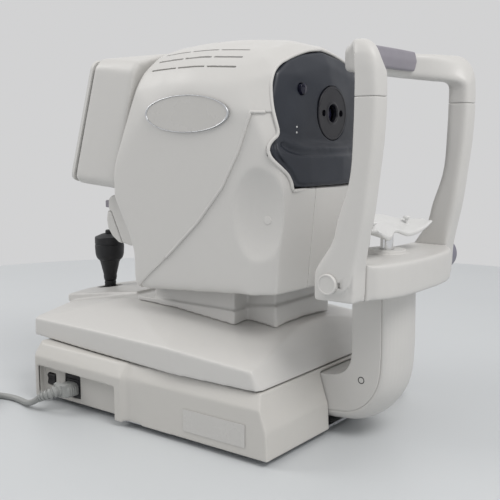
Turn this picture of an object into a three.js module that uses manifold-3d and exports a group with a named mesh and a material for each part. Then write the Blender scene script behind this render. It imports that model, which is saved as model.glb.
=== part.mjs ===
// Autorefractor: a table-top instrument that measures the eye, with a joystick-driven
// stage, a lifting measuring head, a tilting monitor, a printer and a chin and brow rest.
// Millimetres. +X is the operator's right, +Y points at the patient, +Z is up, table at z = 0.

import * as THREE from 'three';
import { ConvexGeometry } from 'three/addons/geometries/ConvexGeometry.js';
import { mergeVertices } from 'three/addons/utils/BufferGeometryUtils.js';
import Module from 'manifold-3d';

const wasm = await Module();
wasm.setup();

// ---------------------------------------------------------------- driving dimensions

const GAP = 0.4; // air left between neighbouring pieces
const WALL = 3; // moulded shell thickness

const BASE = {
  bottom: 6, crease: 59, top: 75, halfWidth: 164, patientEnd: 160, operatorEnd: -218,
  bulgeEnd: -40, bulge: 5,
};
const RECESS = { inner: 149, yMin: -199, yMax: -56, top: 47 };
const ROCKER = { y: -185, z: 29, width: 15, height: 16 };
const INLET = { y: -146, z: 27, width: 28, height: 29, cavityWidth: 23, cavityHeight: 19 };

const LABEL = { yMin: 47, yMax: 132, zMin: 16, zMax: 41, thickness: 0.5 };

const AXLE = { y: -40, z: 60.5, radius: 5, pitchRadius: 10, halfSpan: 118, pinionX: 105, teeth: 12 };
const ADDENDUM = 1.3; // tooth height above and below the pitch line
const TOOTH_PITCH = (2 * Math.PI * AXLE.pitchRadius) / AXLE.teeth;

const STAGE = { bottom: 76.5, patientEnd: 146, operatorEnd: -260 };
const NECK = { halfWide: 82, halfNarrow: 57, yRear: -97, yStep: 59, yFront: 100, ledge: 138, top: 190 };
const STICK = { y: -233, hole: 18, pivotZ: 96, collarZ: 131, waistZ: 161, fullZ: 174, shoulderZ: 194 };

const PILLAR = { halfWidth: 35, panelDepth: 2, beamTop: 70, top: 173.6 };
const CROSSBAR = { bottom: 174, top: 210, collarTop: 214, front: 260, rear: 187, halfSpan: 94, endY: 236 };
const ARM = { inner: 93, outer: 121, seamZ: 374 };
const CHIN = { y: 208, postRadius: 7 };
const KNOB = { y: 212, z: 194, radius: 20 };

const EYE = { z: 362, x: 0 }; // centre of the measuring window
const NOSE_SEAM = 47; // half-distance between the seams of the lower front cover
const SCREEN = { halfWidth: 105, tilt: 17.5 };
const PRINTER = { halfWidth: 62, rear: -167 };

const CORD = { diameter: 7.5, coilCentre: [246, -279], coilMean: 42, coilHalf: 11.5 };

const MATERIALS = {
  shell: { color: 0xd2d1cd, roughness: 0.45, metalness: 0 },
  lowerShell: { color: 0xcdc9c2, roughness: 0.5, metalness: 0 },
  darkPanel: { color: 0x41444e, roughness: 0.4, metalness: 0 },
  windowDisc: { color: 0x2f3037, roughness: 0.3, metalness: 0 },
  glass: { color: 0x1c2030, roughness: 0.05, metalness: 0 },
  pad: { color: 0x8c8690, roughness: 0.7, metalness: 0 },
  knob: { color: 0x77758a, roughness: 0.6, metalness: 0 },
  blackRubber: { color: 0x1e1e22, roughness: 0.6, metalness: 0 },
  steel: { color: 0xb4b6ba, roughness: 0.3, metalness: 1 },
  plate: { color: 0x9a9ca0, roughness: 0.5, metalness: 1 },
  chrome: { color: 0xd8dadd, roughness: 0.12, metalness: 1 },
  cord: { color: 0x969896, roughness: 0.6, metalness: 0 },
  cup: { color: 0xe6e7e8, roughness: 0.4, metalness: 0 },
  label: { color: 0xc4c2be, roughness: 0.6, metalness: 0 },
  paper: { color: 0xf2f1ec, roughness: 0.9, metalness: 0 },
  screen: { color: 0x15171c, roughness: 0.15, metalness: 0 },
  blackPlastic: { color: 0x17181b, roughness: 0.5, metalness: 0 },
};

const group = new THREE.Group();

// ---------------------------------------------------------------- geometry helpers

function solidOf(geometry) {
  const bare = geometry.clone();
  bare.deleteAttribute('normal');
  bare.deleteAttribute('uv');
  const merged = mergeVertices(bare, 1e-3);
  return new wasm.Manifold(new wasm.Mesh({
    numProp: 3,
    vertProperties: new Float32Array(merged.attributes.position.array),
    triVerts: new Uint32Array(merged.index.array),
  }));
}

function geometryOf(solid) {
  const mesh = solid.getMesh();
  const geometry = new THREE.BufferGeometry();
  geometry.setAttribute('position', new THREE.BufferAttribute(mesh.vertProperties, 3));
  geometry.setIndex(new THREE.BufferAttribute(mesh.triVerts, 1));
  geometry.computeVertexNormals();
  return geometry;
}

function add(name, solid, material) {
  const mesh = new THREE.Mesh(geometryOf(solid), new THREE.MeshStandardMaterial(MATERIALS[material]));
  mesh.name = name;
  group.add(mesh);
}

// Corner points [u, v, radius]; a radius turns the corner into an arc of a few straight steps.
function rounded(corners, steps = 3) {
  const outline = [];
  corners.forEach(([u, v, radius], i) => {
    const corner = new THREE.Vector2(u, v);
    if (!radius) {
      outline.push(corner);
      return;
    }
    const before = corners.at(i - 1);
    const after = corners[(i + 1) % corners.length];
    const toBefore = new THREE.Vector2(before[0], before[1]).sub(corner).normalize();
    const toAfter = new THREE.Vector2(after[0], after[1]).sub(corner).normalize();
    const half = Math.acos(THREE.MathUtils.clamp(toBefore.dot(toAfter), -1, 1)) / 2;
    const reach = radius / Math.tan(half);
    const start = corner.clone().addScaledVector(toBefore, reach);
    const end = corner.clone().addScaledVector(toAfter, reach);
    const curve = new THREE.QuadraticBezierCurve(start, corner, end);
    outline.push(...curve.getPoints(steps));
  });
  return outline;
}

function extrude(outline, depth) {
  const shape = new THREE.Shape(outline);
  return new THREE.ExtrudeGeometry(shape, { depth, bevelEnabled: false, steps: 1 });
}

// Each prism stands on an outline in the two other axes, in alphabetical order.
function prismX(corners, x0, x1, steps) {
  const geometry = extrude(rounded(corners, steps), x1 - x0);
  const basis = new THREE.Matrix4().makeBasis(
    new THREE.Vector3(0, 1, 0), new THREE.Vector3(0, 0, 1), new THREE.Vector3(1, 0, 0));
  return solidOf(geometry.applyMatrix4(basis).translate(x0, 0, 0));
}

function prismY(corners, y0, y1, steps) {
  const geometry = extrude(rounded(corners, steps), y1 - y0);
  const basis = new THREE.Matrix4().makeBasis(
    new THREE.Vector3(1, 0, 0), new THREE.Vector3(0, 0, 1), new THREE.Vector3(0, -1, 0));
  return solidOf(geometry.applyMatrix4(basis).translate(0, y1, 0));
}

function prismZ(corners, z0, z1, steps) {
  return solidOf(extrude(rounded(corners, steps), z1 - z0).translate(0, 0, z0));
}

function box(x0, x1, y0, y1, z0, z1) {
  const geometry = new THREE.BoxGeometry(x1 - x0, y1 - y0, z1 - z0);
  return solidOf(geometry.translate((x0 + x1) / 2, (y0 + y1) / 2, (z0 + z1) / 2));
}

function hull(points) {
  return solidOf(new ConvexGeometry(points.map((point) => new THREE.Vector3(...point))));
}

// Mirrors points given for x >= 0 so that a hull only needs its right half written down.
function bothSides(points) {
  return points.concat(points.map(([x, y, z]) => [-x, y, z]));
}

// Closes an outline of the right half, listed from the operator end to the patient end.
function closeHalf(half) {
  const left = half.filter(([x]) => x > 0).map(([x, y, radius]) => [-x, y, radius]).reverse();
  return half.concat(left);
}

// Round piece from [radius, height] steps, standing on the axis through (x, y).
function turned(profile, x, y, segments = 20) {
  const points = profile.map(([radius, height]) => new THREE.Vector2(radius, height));
  const geometry = new THREE.LatheGeometry(points, segments);
  return solidOf(geometry.rotateX(Math.PI / 2).translate(x, y, 0));
}

// The same profile laid along X: height becomes x.
function turnedX(profile, y, z, segments = 20) {
  const points = profile.map(([radius, height]) => new THREE.Vector2(radius, height));
  const geometry = new THREE.LatheGeometry(points, segments);
  return solidOf(geometry.rotateZ(-Math.PI / 2).translate(0, y, z));
}

function turnedY(profile, x, z, segments = 20) {
  const points = profile.map(([radius, height]) => new THREE.Vector2(radius, height));
  return solidOf(new THREE.LatheGeometry(points, segments).translate(x, 0, z));
}

function disc(radius, low, high) {
  return [[0, low], [radius, low], [radius, high], [0, high]];
}

function ring(inner, outer, low, high) {
  return [[inner, low], [outer, low], [outer, high], [inner, high], [inner, low]];
}

function mirrored(solid) {
  return solid.mirror([1, 0, 0]);
}

function joined(...solids) {
  return solids.reduce((sum, solid) => sum.add(solid));
}

function addPair(name, right, material) {
  add(`${name}_right`, right, material);
  add(`${name}_left`, mirrored(right), material);
}

// Skin over stations: rings with the same number of points, each a section of one member.
function loft(stations) {
  const count = stations[0].length;
  const ringStart = (i) => i * count;
  const triangles = [];
  stations.slice(1).forEach((_, i) => {
    for (let k = 0; k < count; k += 1) {
      const next = (k + 1) % count;
      const [a, b] = [ringStart(i) + k, ringStart(i) + next];
      const [c, d] = [ringStart(i + 1) + k, ringStart(i + 1) + next];
      triangles.push(a, b, d, a, d, c);
    }
  });
  const last = ringStart(stations.length - 1);
  for (let k = 1; k < count - 1; k += 1) {
    triangles.push(0, k + 1, k, last, last + k, last + k + 1);
  }
  const skin = new THREE.BufferGeometry();
  skin.setAttribute('position', new THREE.Float32BufferAttribute(stations.flat(2), 3));
  skin.setIndex(triangles);
  if (signedVolume(skin) < 0) {
    skin.setIndex(triangles.reverse());
  }
  return solidOf(skin);
}

function signedVolume(skin) {
  const position = skin.attributes.position;
  const corners = [0, 1, 2].map(() => new THREE.Vector3());
  let sum = 0;
  for (let i = 0; i < skin.index.count; i += 3) {
    corners.forEach((corner, k) => corner.fromBufferAttribute(position, skin.index.getX(i + k)));
    sum += corners[0].dot(corners[1].clone().cross(corners[2]));
  }
  return sum / 6;
}

// Rectangular section with cut corners: it reaches from an inner to an outer [x, z] point
// across a member, and from y0 to y1 through it; the outer y1 corner can be cut back further.
function station(inner, outer, y0, y1, cut, crownCut = cut) {
  const span = Math.hypot(outer[0] - inner[0], outer[1] - inner[1]);
  const place = (distance, y) => {
    const share = distance / span;
    return [inner[0] + (outer[0] - inner[0]) * share, y, inner[1] + (outer[1] - inner[1]) * share];
  };
  return [
    place(cut, y0), place(span - cut, y0), place(span, y0 + cut), place(span, y1 - crownCut),
    place(span - crownCut, y1), place(cut, y1), place(0, y1 - cut), place(0, y0 + cut),
  ];
}

// Upright oval ring across a piece that runs along +Y.
function ovalStation([x, y, z], halfX, halfZ, count = 12) {
  return Array.from({ length: count }, (_, i) => {
    const angle = (2 * Math.PI * i) / count;
    return [x + halfX * Math.cos(angle), y, z - halfZ * Math.sin(angle)];
  });
}

function reflected(points) {
  return points.map(([x, y, z]) => [-x, y, z]);
}

// Circle of points around a point, facing along a direction.
function circleStation(centre, direction, radius, count = 12) {
  const turn = new THREE.Quaternion().setFromUnitVectors(
    new THREE.Vector3(0, 0, 1), new THREE.Vector3(...direction).normalize());
  return Array.from({ length: count }, (_, i) => {
    const angle = (2 * Math.PI * i) / count;
    const point = new THREE.Vector3(radius * Math.cos(angle), radius * Math.sin(angle), 0);
    return point.applyQuaternion(turn).add(new THREE.Vector3(...centre)).toArray();
  });
}

function level(half, z) {
  return bothSides(half.map(([x, y]) => [x, y, z]));
}

// ---------------------------------------------------------------- lower base

// The lower housing, shrunk by an inset; the inset form runs down through the open underside.
function baseBody(inset) {
  const x = BASE.halfWidth - inset;
  const rear = BASE.operatorEnd + inset;
  const front = BASE.patientEnd - inset;
  const low = inset > 0 ? 0 : BASE.bottom;
  const slim = x - BASE.bulge;
  const plan = [[0, rear + 8], [slim - 12, rear + 8], [slim, -60], [slim - 2, front], [0, front]];
  const crown = [[0, rear + 15], [slim - 20, rear + 15], [slim - 9, -60], [slim - 10, front]];
  const bulgeEnd = BASE.bulgeEnd - inset;
  const bulgePlan = [
    [0, rear], [x - 16, rear], [x - 4, rear + 14], [x, -60],
    [x, bulgeEnd - 5], [x - 4, bulgeEnd], [0, bulgeEnd],
  ];
  const bulgeCrown = [
    [0, rear + 7], [x - 22, rear + 7], [x - 12, rear + 19], [x - 9, -60], [x - 13, bulgeEnd], [0, bulgeEnd],
  ];
  const form = (outline, top) => hull([
    ...level(outline, low), ...level(outline, BASE.crease - inset / 2), ...level(top, BASE.top - inset),
  ]);
  const body = form(plan, crown).add(form(bulgePlan, bulgeCrown));
  const endFace = [
    [rear - 1, low - 1], [front, low - 1], [front, BASE.bottom], [front - 2, 37], [front - 8, 54],
    [front - 13, 70], [front - 14, BASE.top + 1], [rear - 1, BASE.top + 1],
  ];
  return body.intersect(prismX(endFace, -200, 200));
}

function buildBase() {
  const recess = box(RECESS.inner, 200, RECESS.yMin, RECESS.yMax, 0, RECESS.top);
  const topOpening = box(-98, 98, -150, 104, BASE.top - 10, BASE.top + 5);
  const beam = PILLAR.halfWidth + GAP;
  const beamOpening = box(-beam, beam, 100, 200, 0, PILLAR.beamTop + GAP);
  const cover = baseBody(0).subtract(baseBody(WALL)).subtract(recess).subtract(topOpening);
  add('base_cover', cover.subtract(beamOpening), 'lowerShell');

  const plateFootprint = baseBody(WALL + GAP).intersect(box(-200, 200, -300, 300, BASE.bottom, 9));
  const recessClearance = box(RECESS.inner - 4, 200, RECESS.yMin - 3, RECESS.yMax + 3, 0, 20);
  add('base_plate', plateFootprint.subtract(recessClearance), 'plate');

  const foot = turned([[0, 0], [11, 0], [12.5, 1.5], [12.5, 5.6], [0, 5.6]], 0, 0, 16);
  [[124, 128], [-124, 128], [-124, -184], [118, -184]].forEach(([x, y], i) => {
    add(`foot_${i + 1}`, foot.translate([x, y, 0]), 'blackRubber');
  });
}

function buildInlet() {
  const wall = RECESS.inner - WALL;
  const tray = box(wall, 156, RECESS.yMin - 2.4, RECESS.yMax + 2.4, 6.4, RECESS.top + 2.4);
  const air = box(RECESS.inner, 160, RECESS.yMin - GAP, RECESS.yMax + GAP, 0, RECESS.top + GAP);
  const halfRocker = ROCKER.width / 2;
  const rockerHole = box(wall - 1, 155, ROCKER.y - halfRocker, ROCKER.y + halfRocker,
    ROCKER.z - ROCKER.height / 2, ROCKER.z + ROCKER.height / 2);
  const halfInlet = INLET.width / 2;
  const inletHole = box(wall - 1, 155, INLET.y - halfInlet, INLET.y + halfInlet,
    INLET.z - INLET.height / 2, INLET.z + INLET.height / 2);
  add('inlet_panel', tray.subtract(air).subtract(rockerHole).subtract(inletHole), 'lowerShell');

  const rockerProfile = [
    [144.5, -7.1], [149.6, -7.3], [151, -5], [149.6, 0], [151, 5], [149.6, 7.3], [144.5, 7.1],
  ];
  const rocker = prismY(rockerProfile.map(([x, z]) => [x, z + ROCKER.z]),
    ROCKER.y - halfRocker + GAP, ROCKER.y + halfRocker - GAP);
  add('power_rocker', rocker, 'blackPlastic');

  const shroud = box(124, 148.6, INLET.y - halfInlet + GAP, INLET.y + halfInlet - GAP,
    INLET.z - INLET.height / 2 + GAP, INLET.z + INLET.height / 2 - GAP);
  const cavity = box(130, 150, INLET.y - INLET.cavityWidth / 2, INLET.y + INLET.cavityWidth / 2,
    INLET.z - INLET.cavityHeight / 2, INLET.z + INLET.cavityHeight / 2);
  add('mains_inlet', shroud.subtract(cavity), 'blackPlastic');

  const sideX = (y) => BASE.halfWidth - BASE.bulge - (2 * (y + 60)) / (BASE.patientEnd + 60);
  const plateCorners = [LABEL.yMin, LABEL.yMax].flatMap((y) => [LABEL.zMin, LABEL.zMax].flatMap(
    (z) => [[sideX(y) + GAP, y, z], [sideX(y) + GAP + LABEL.thickness, y, z]]));
  add('rating_plate', hull(plateCorners), 'label');
  add('power_supply', box(-128, -20, -196, -92, 10, 46), 'plate');
}

// ---------------------------------------------------------------- fore-and-aft and sideways drive

// One tooth as [distance along the pitch line, height above it] corners, root to root.
const TOOTH = [
  [-1.9, -ADDENDUM - 0.5], [-0.5, ADDENDUM - 0.2], [0.5, ADDENDUM - 0.2], [1.9, -ADDENDUM - 0.5],
];

function pinionOutline() {
  return Array.from({ length: AXLE.teeth }, (_, i) => TOOTH.map(([along, height]) => {
    const radius = AXLE.pitchRadius + height;
    const angle = (i * TOOTH_PITCH + along) / AXLE.pitchRadius - Math.PI / 2;
    return [AXLE.y + radius * Math.cos(angle), AXLE.z + radius * Math.sin(angle)];
  })).flat();
}

function rackOutline(floor) {
  const pitchLine = AXLE.z - AXLE.pitchRadius;
  const teeth = 14;
  const points = [];
  for (let i = 0; i < teeth; i += 1) {
    const middle = AXLE.y + (i - (teeth - 1) / 2) * TOOTH_PITCH;
    points.push(...TOOTH.map(([along, height]) => [middle + along, pitchLine + height]));
  }
  return [...points, [points.at(-1)[0], floor], [points[0][0], floor]];
}

function buildDrive() {
  addPair('rack', prismX(rackOutline(9.4), AXLE.pinionX - 5, AXLE.pinionX + 5), 'steel');

  const bearing = turnedX(disc(AXLE.radius + GAP, -90, 90), AXLE.y, AXLE.z);
  const carrierProfile = [
    [AXLE.y - 20, 50, 4], [AXLE.y + 20, 50, 4], [AXLE.y + 26, BASE.top - 0.8], [AXLE.y - 26, BASE.top - 0.8],
  ];
  add('axle_carrier', prismX(carrierProfile, -84, 84, 2).subtract(bearing), 'plate');

  const shaft = turnedX(disc(AXLE.radius, -AXLE.halfSpan, AXLE.halfSpan), AXLE.y, AXLE.z);
  const pinion = prismX(pinionOutline(), AXLE.pinionX - 4, AXLE.pinionX + 4);
  add('cross_axle', joined(shaft, pinion, mirrored(pinion)), 'steel');
}

// ---------------------------------------------------------------- moving stage

function stageBody(inset) {
  const rear = STAGE.operatorEnd + inset;
  const front = STAGE.patientEnd - inset;
  const low = inset > 0 ? STAGE.bottom - 10 : STAGE.bottom;
  const rim = [
    [0, rear], [66, rear + 4], [122, rear + 14], [133, rear + 24], [146, -113], [158, 29],
    [153, front - 4], [146, front],
  ].map(([x, y]) => [x - (x > 0 ? inset : 0), y]);
  const creaseHeights = [97, 97, 98, 99, 103, 105, 97, 80];
  const creaseBack = [-1, -1, -1, -1, -1, 1, 6, 1];
  const crease = rim.map(([x, y], i) => [x, y - creaseBack[i], creaseHeights[i] - inset]);
  const ridge = [
    [88, 112, 109], [71, 112, 114], [30, 112, 120], [0, 112, 121], [82, 59, 121], [82, -33, 130],
    [82, -118, 133], [0, -118, 134], [80, -230, 112], [0, -246, 113],
  ].map(([x, y, z]) => [x, y - (y > 0 ? inset : 0), z - inset]);
  return hull(bothSides([...rim.map(([x, y]) => [x, y, low]), ...crease, ...ridge]));
}

// Raised tray around the joystick.
function traySolid(inset) {
  const half = [
    [60 - inset, -119 - inset, 137 - inset], [66 - inset, -249 + inset, 119 - inset],
    [22, -256 + inset, 120 - inset],
    [60 - inset, -119 - inset, 118], [66 - inset, -249 + inset, 108], [22, -256 + inset, 108],
  ];
  return hull(bothSides(half));
}

function buildStage() {
  const outer = stageBody(0).add(traySolid(0));
  const inner = stageBody(WALL).add(traySolid(WALL));
  const stickHole = turned(disc(STICK.hole, 90, 150), 0, STICK.y, 24);
  const columnHole = box(-40, 40, -40, 44, 90, 160);
  add('stage_cover', outer.subtract(inner).subtract(stickHole).subtract(columnHole), 'shell');

  const plate = stageBody(WALL + GAP).intersect(box(-200, 200, -300, 300, 77, 80));
  add('stage_plate', plate, 'plate');

  const tier = (inset, rear, top, narrowTop) => joined(
    box(-NECK.halfWide + inset, NECK.halfWide - inset, rear, NECK.yStep - inset, 90, top),
    prismX([[40, 90], [NECK.yFront - inset, 90], [NECK.yFront - inset, narrowTop], [40, top]],
      -NECK.halfNarrow + inset, NECK.halfNarrow - inset),
  );
  const tiers = tier(0, NECK.yRear, NECK.ledge, NECK.ledge + 7).add(tier(3, -69, NECK.top, NECK.top));
  const hollow = tier(6, -66, NECK.top + 10, NECK.top + 10)
    .add(tier(6, -66, 100, 100).translate([0, 0, -20]));
  const seat = stageBody(0).add(traySolid(0)).translate([0, 0, GAP]);
  add('neck_skirt', tiers.subtract(hollow).subtract(seat), 'shell');
}

function buildLift() {
  add('lift_column', turned(ring(9, 24, 80.4, 192), 0, 0, 24), 'plate');
  const screw = [[0, 84], [6, 84], [6, 108]];
  for (let z = 112; z < 290; z += 22) {
    screw.push([6, z], [5, z + 3], [5, z + 8], [6, z + 11]);
  }
  add('lead_screw', turned([...screw, [6, 300], [0, 300]], 0, 0, 12), 'steel');
}

// ---------------------------------------------------------------- joystick

function buildJoystick() {
  const gimbal = joined(
    turned(ring(13, 17, STICK.pivotZ - 4, STICK.pivotZ + 4), 0, STICK.y, 20),
    turnedX(disc(2.5, 16, 24), STICK.y, STICK.pivotZ, 12),
    turnedX(disc(2.5, -24, -16), STICK.y, STICK.pivotZ, 12),
  );
  add('gimbal_ring', gimbal, 'steel');

  const stem = [
    [0, 88], [9, 88], [9, 104], [7.7, 106], [7.7, STICK.collarZ - GAP], [5, STICK.collarZ - GAP],
    [5, STICK.shoulderZ - 6], [0, STICK.shoulderZ - 6],
  ];
  add('joystick_stem', turned(stem, 0, STICK.y), 'blackRubber');

  const grip = [
    [5.4, STICK.collarZ], [8.5, STICK.collarZ], [8.8, STICK.collarZ + 6], [14.5, STICK.waistZ],
    [17, STICK.waistZ + 3], [20.5, STICK.fullZ], [20.8, STICK.shoulderZ - 1], [19, STICK.shoulderZ + 0.5],
    [9, STICK.shoulderZ + 4.5], [7, STICK.shoulderZ + 4.5], [6.3, STICK.shoulderZ + 3],
    [6.3, STICK.shoulderZ - 4], [5.4, STICK.shoulderZ - 4],
  ];
  add('joystick_grip', turned([...grip, grip[0]], 0, STICK.y, 24), 'blackRubber');

  const low = STICK.shoulderZ - 2;
  const top = STICK.shoulderZ + 10;
  const button = [[0, low], [5.6, low], [5.6, top - 1], [4.8, top], [0, top]];
  add('joystick_button', turned(button, 0, STICK.y, 20), 'blackRubber');
}

// ---------------------------------------------------------------- measuring head

const REAR_SLOPE = 0.266; // how far the head's operator face leans per millimetre of height
const REAR_TOP = [-64, 446];

// The head's outer form shrunk by an inset; the open one runs on down through its underside.
function headBody(inset, open = false) {
  const arch = (y, crown, wide) => [
    [0, y, crown], [40, y, crown - 7], [75, y, crown - 20],
    [98 + wide, y, crown - 35], [110 + wide, y, crown - 54],
  ];
  const points = [
    ...arch(REAR_TOP[0], REAR_TOP[1], 1), ...arch(-20, 450, 2), ...arch(22, 451, 3), ...arch(77, 447, 0),
    [0, 120, 434], [40, 120, 428], [65, 120, 421], [90, 120, 405], [97, 120, 385], [97, 121, 341],
    [118, -40, 365], [118, 60, 365], [115, 108, 361], [113, 100, 300],
    [103, 141, 282], [47, 148, 282], [0, 149, 282], [102, 132, 166], [47, 137, 166], [0, 138, 166],
    [110, 100, 163], [110, -60, 152], [109, -77, 157], [0, -77, 152], [113, -107, 265], [0, -107, 265],
    [115, -104, 296],
  ];
  const rear = inset;
  const shrunk = points.map(([x, y, z]) => {
    const sideways = x > 60 ? inset : 0;
    const fore = y > 115 ? -inset : 0;
    const aft = y < -60 ? rear : 0;
    const down = z > 380 ? -inset : 0;
    const through = open && z < 170 ? -20 : 0;
    return [x - sideways, y + fore + aft, z + down + through];
  });
  const hollowBack = [
    [-130, 120], [-77 + rear, 120], [-77 + rear, 157], [-76 + rear, 198], [-82 + rear, 218],
    [-95 + rear, 242], [-107 + rear, 265], [-130, 265],
  ];
  return hull(bothSides(shrunk)).subtract(prismX(hollowBack, -140, 140));
}

const panelCorners = (grow) => closeHalf([
  [0, 431 + grow], [40, 425 + grow], [65, 418 + grow], [88 + grow, 403], [97 + grow, 378], [97 + grow, 348],
  [94 + grow, 341], [103 + grow, 333], [105 + grow, 322], [102 + grow, 309], [92 + grow, 299],
  [86 + grow, 281 - grow], [0, 281 - grow],
]);

// The side outline of the lower front cover, behind the long S-shaped edge of the side cover.
const noseRegion = (grow) => [
  [170, 120], [170, 361 - grow], [107 + grow, 361 - grow], [90 + grow, 319], [68 + grow, 281],
  [31 + grow, 240], [-19 + grow, 196], [-66 + grow, 158], [-84 + grow, 120],
];

function scoop(grow) {
  const bowl = new THREE.SphereGeometry(1, 20, 14);
  bowl.scale(36 + grow, 56 + grow, 74 + grow).translate(135, 126, 250);
  return solidOf(bowl);
}

function printerHousing() {
  const profile = [
    [-90, 262], [-160, 260, 6], [PRINTER.rear, 254, 4], [PRINTER.rear, 241], [-161, 238],
    [-142, 199], [-128, 196], [-90, 205],
  ];
  const bay = box(-42, 42, -175, -112, 203, 240);
  const keySeat = box(-61, 61, PRINTER.rear - 1, PRINTER.rear + 3, 242.4, 253.6);
  return prismX(profile, -PRINTER.halfWidth, PRINTER.halfWidth).subtract(bay).subtract(keySeat);
}

function buildHead() {
  const hollow = headBody(WALL, true);
  const shell = headBody(0).subtract(hollow);
  const panelHole = prismY(panelCorners(GAP), 108, 190);
  const printer = printerHousing().subtract(hollow);
  const cover = shell.subtract(prismX(noseRegion(0), -150, 150)).subtract(panelHole).add(printer);
  add('head_cover', largest(cover), 'shell');

  const nose = headBody(1.2).subtract(scoop(0)).subtract(mirrored(scoop(0)))
    .subtract(headBody(1.2 + WALL, true).subtract(scoop(WALL)).subtract(mirrored(scoop(WALL))))
    .intersect(prismX(noseRegion(GAP), -150, 150))
    .subtract(panelHole);
  const half = NOSE_SEAM - GAP / 2;
  add('nose_cover_center', largest(nose.intersect(box(-half, half, 0, 200, 100, 400))), 'shell');
  addPair('nose_cover', largest(nose.intersect(box(NOSE_SEAM + GAP / 2, 150, -100, 200, 100, 400))), 'shell');
}

function largest(solid) {
  return solid.decompose().sort((a, b) => b.volume() - a.volume())[0];
}

function buildFace() {
  const back = 112;
  const upper = hull(bothSides([
    ...[[0, 431], [40, 425], [65, 418], [88, 403], [97, 378], [97, 348], [94, 330], [0, 316]].flatMap(
      ([x, z]) => [[x, back, z], [x, 121, z]]),
    [0, 131, 415], [60, 129, 402], [82, 127, 380], [82, 128, 345], [60, 135, 345],
    [0, 137, 385], [0, 137, 322],
    [60, 134, 322],
  ]));
  const lower = hull(bothSides([
    ...[[94, 341], [103, 333], [105, 322], [102, 309], [92, 299], [86, 281], [0, 281], [0, 325]].flatMap(
      ([x, z]) => [[x, back, z], [x, 122, z]]),
    [92, 132, 322], [86, 137, 300], [80, 139, 283], [60, 145, 318],
    [0, 151, 318], [0, 151, 283], [60, 147, 283],
  ]));
  const seat = turnedY(disc(30.4, 132.4, 170), EYE.x, EYE.z, 32);
  const tunnel = turnedY(disc(22, 100, 140), EYE.x, EYE.z, 24);
  const sensorHole = turnedY(disc(6.2, 100, 150), 55, 387, 16);
  const panel = upper.add(lower).intersect(prismY(panelCorners(0), 100, 190));
  add('front_panel', panel.subtract(seat).subtract(tunnel).subtract(sensorHole), 'darkPanel');

  add('window_ring', turnedY(ring(9.5, 30, 132.8, 139), EYE.x, EYE.z, 32), 'windowDisc');
  add('window_lens', turnedY(disc(9.1, 133, 136), EYE.x, EYE.z, 20), 'glass');
  add('sensor_window', turnedY(disc(5.8, 126, 134), 55, 387, 16), 'glass');
  add('optical_barrel', turnedY(ring(15, 21.5, 30, 132.4), EYE.x, EYE.z, 24), 'blackPlastic');

  const chassis = joined(
    box(-64, 64, -58, 70, 204, 210),
    box(-64, -60, -50, 60, 208, 334),
    box(60, 64, -50, 60, 208, 334),
    box(-64, 64, -58, 108, 330, 336),
  );
  add('head_chassis', chassis.subtract(turned(disc(6.6, 190, 220), 0, 0, 16)), 'plate');

  const oval = new THREE.CylinderGeometry(1, 1, 1, 32).rotateZ(Math.PI / 2).scale(1.2, 61, 20.5);
  addPair('nameplate', solidOf(oval.translate(118.9, 20, 361)), 'label');
}

// ---------------------------------------------------------------- monitor and printer

// Pieces made upright, standing on the screen plane's lower edge, then leaned back with the screen.
function leaned(solid) {
  return solid.rotate([-SCREEN.tilt, 0, 0]).translate([0, -190, 280]);
}

function buildMonitor() {
  const rearAt = (z) => REAR_TOP[0] - (REAR_TOP[1] - z) * REAR_SLOPE - 1.2;
  const front = [
    [0, -184.5, 276], [96, -184.5, 277], [105, -182, 285], [105, -140, 420], [96, -138, 430], [0, -136.5, 435],
  ];
  const rear = [[0, 271], [94, 271], [103, 280], [103, 412], [96, 424], [50, 436], [0, 441]];
  const body = hull(bothSides([...front, ...rear.map(([x, z]) => [x, rearAt(z), z])]));
  const slab = leaned(box(-120, 120, -10, 4.4, -20, 190));
  const pocket = leaned(box(-94, 94, 0, 40, 12, 144));
  add('monitor_rear', body.subtract(slab).subtract(pocket), 'shell');

  const frame = (half, low, high, radius) => [
    [-half, low, radius], [half, low, radius], [half, high, radius], [-half, high, radius],
  ];
  const bezel = prismY(frame(SCREEN.halfWidth, 0, 156, 14), 0, 4);
  const opening = prismY(frame(90, 16, 140, 3), -1, 5);
  add('monitor_bezel', leaned(bezel.subtract(opening)), 'shell');
  add('monitor_screen', leaned(prismY(frame(89.6, 16.4, 139.6, 3), 0.8, 4)), 'screen');
}

function buildPrinter() {
  const lid = [
    [-161.9, 237.1], [-168.5, 239.9], [-171, 228], [-169, 217], [-161, 206.5], [-149, 198.8], [-142.9, 198.2],
  ];
  add('printer_cover', prismX(lid, -PRINTER.halfWidth, PRINTER.halfWidth), 'shell');
  add('paper_roll', turnedX(ring(6, 16, -29, 29), -134, 221.5, 24), 'paper');
  const key = [
    [PRINTER.rear - 8, 243, 2], [PRINTER.rear + 1, 243], [PRINTER.rear + 1, 253], [PRINTER.rear - 8, 253, 2],
  ];
  add('printer_button', prismX(key, -PRINTER.halfWidth + 2, PRINTER.halfWidth - 2), 'pad');
}

// ---------------------------------------------------------------- pillar, chin rest and brow rest

// The pillar swept round its elbow: each row is an inner edge point and the outer edge point of the
// flat side across from it, both as [y, z].
const PILLAR_PATH = [
  [[186, PILLAR.top], [221.5, PILLAR.top]], [[186, 98], [222, 98]], [[185, 91], [221, 80]],
  [[182.5, 84], [218, 66]], [[178, 78], [211.5, 53.5]], [[171, 73.5], [201.5, 42]],
  [[162, 71], [187, 33.5]], [[152, PILLAR.beamTop], [166, 30]], [[112, PILLAR.beamTop], [112, 29]],
];
// Crown of the section beyond the flat sides, as [x, height].
const PILLAR_CROWN = [[PILLAR.halfWidth, 0], [24, 10], [12, 14], [0, 15.5]];

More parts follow.
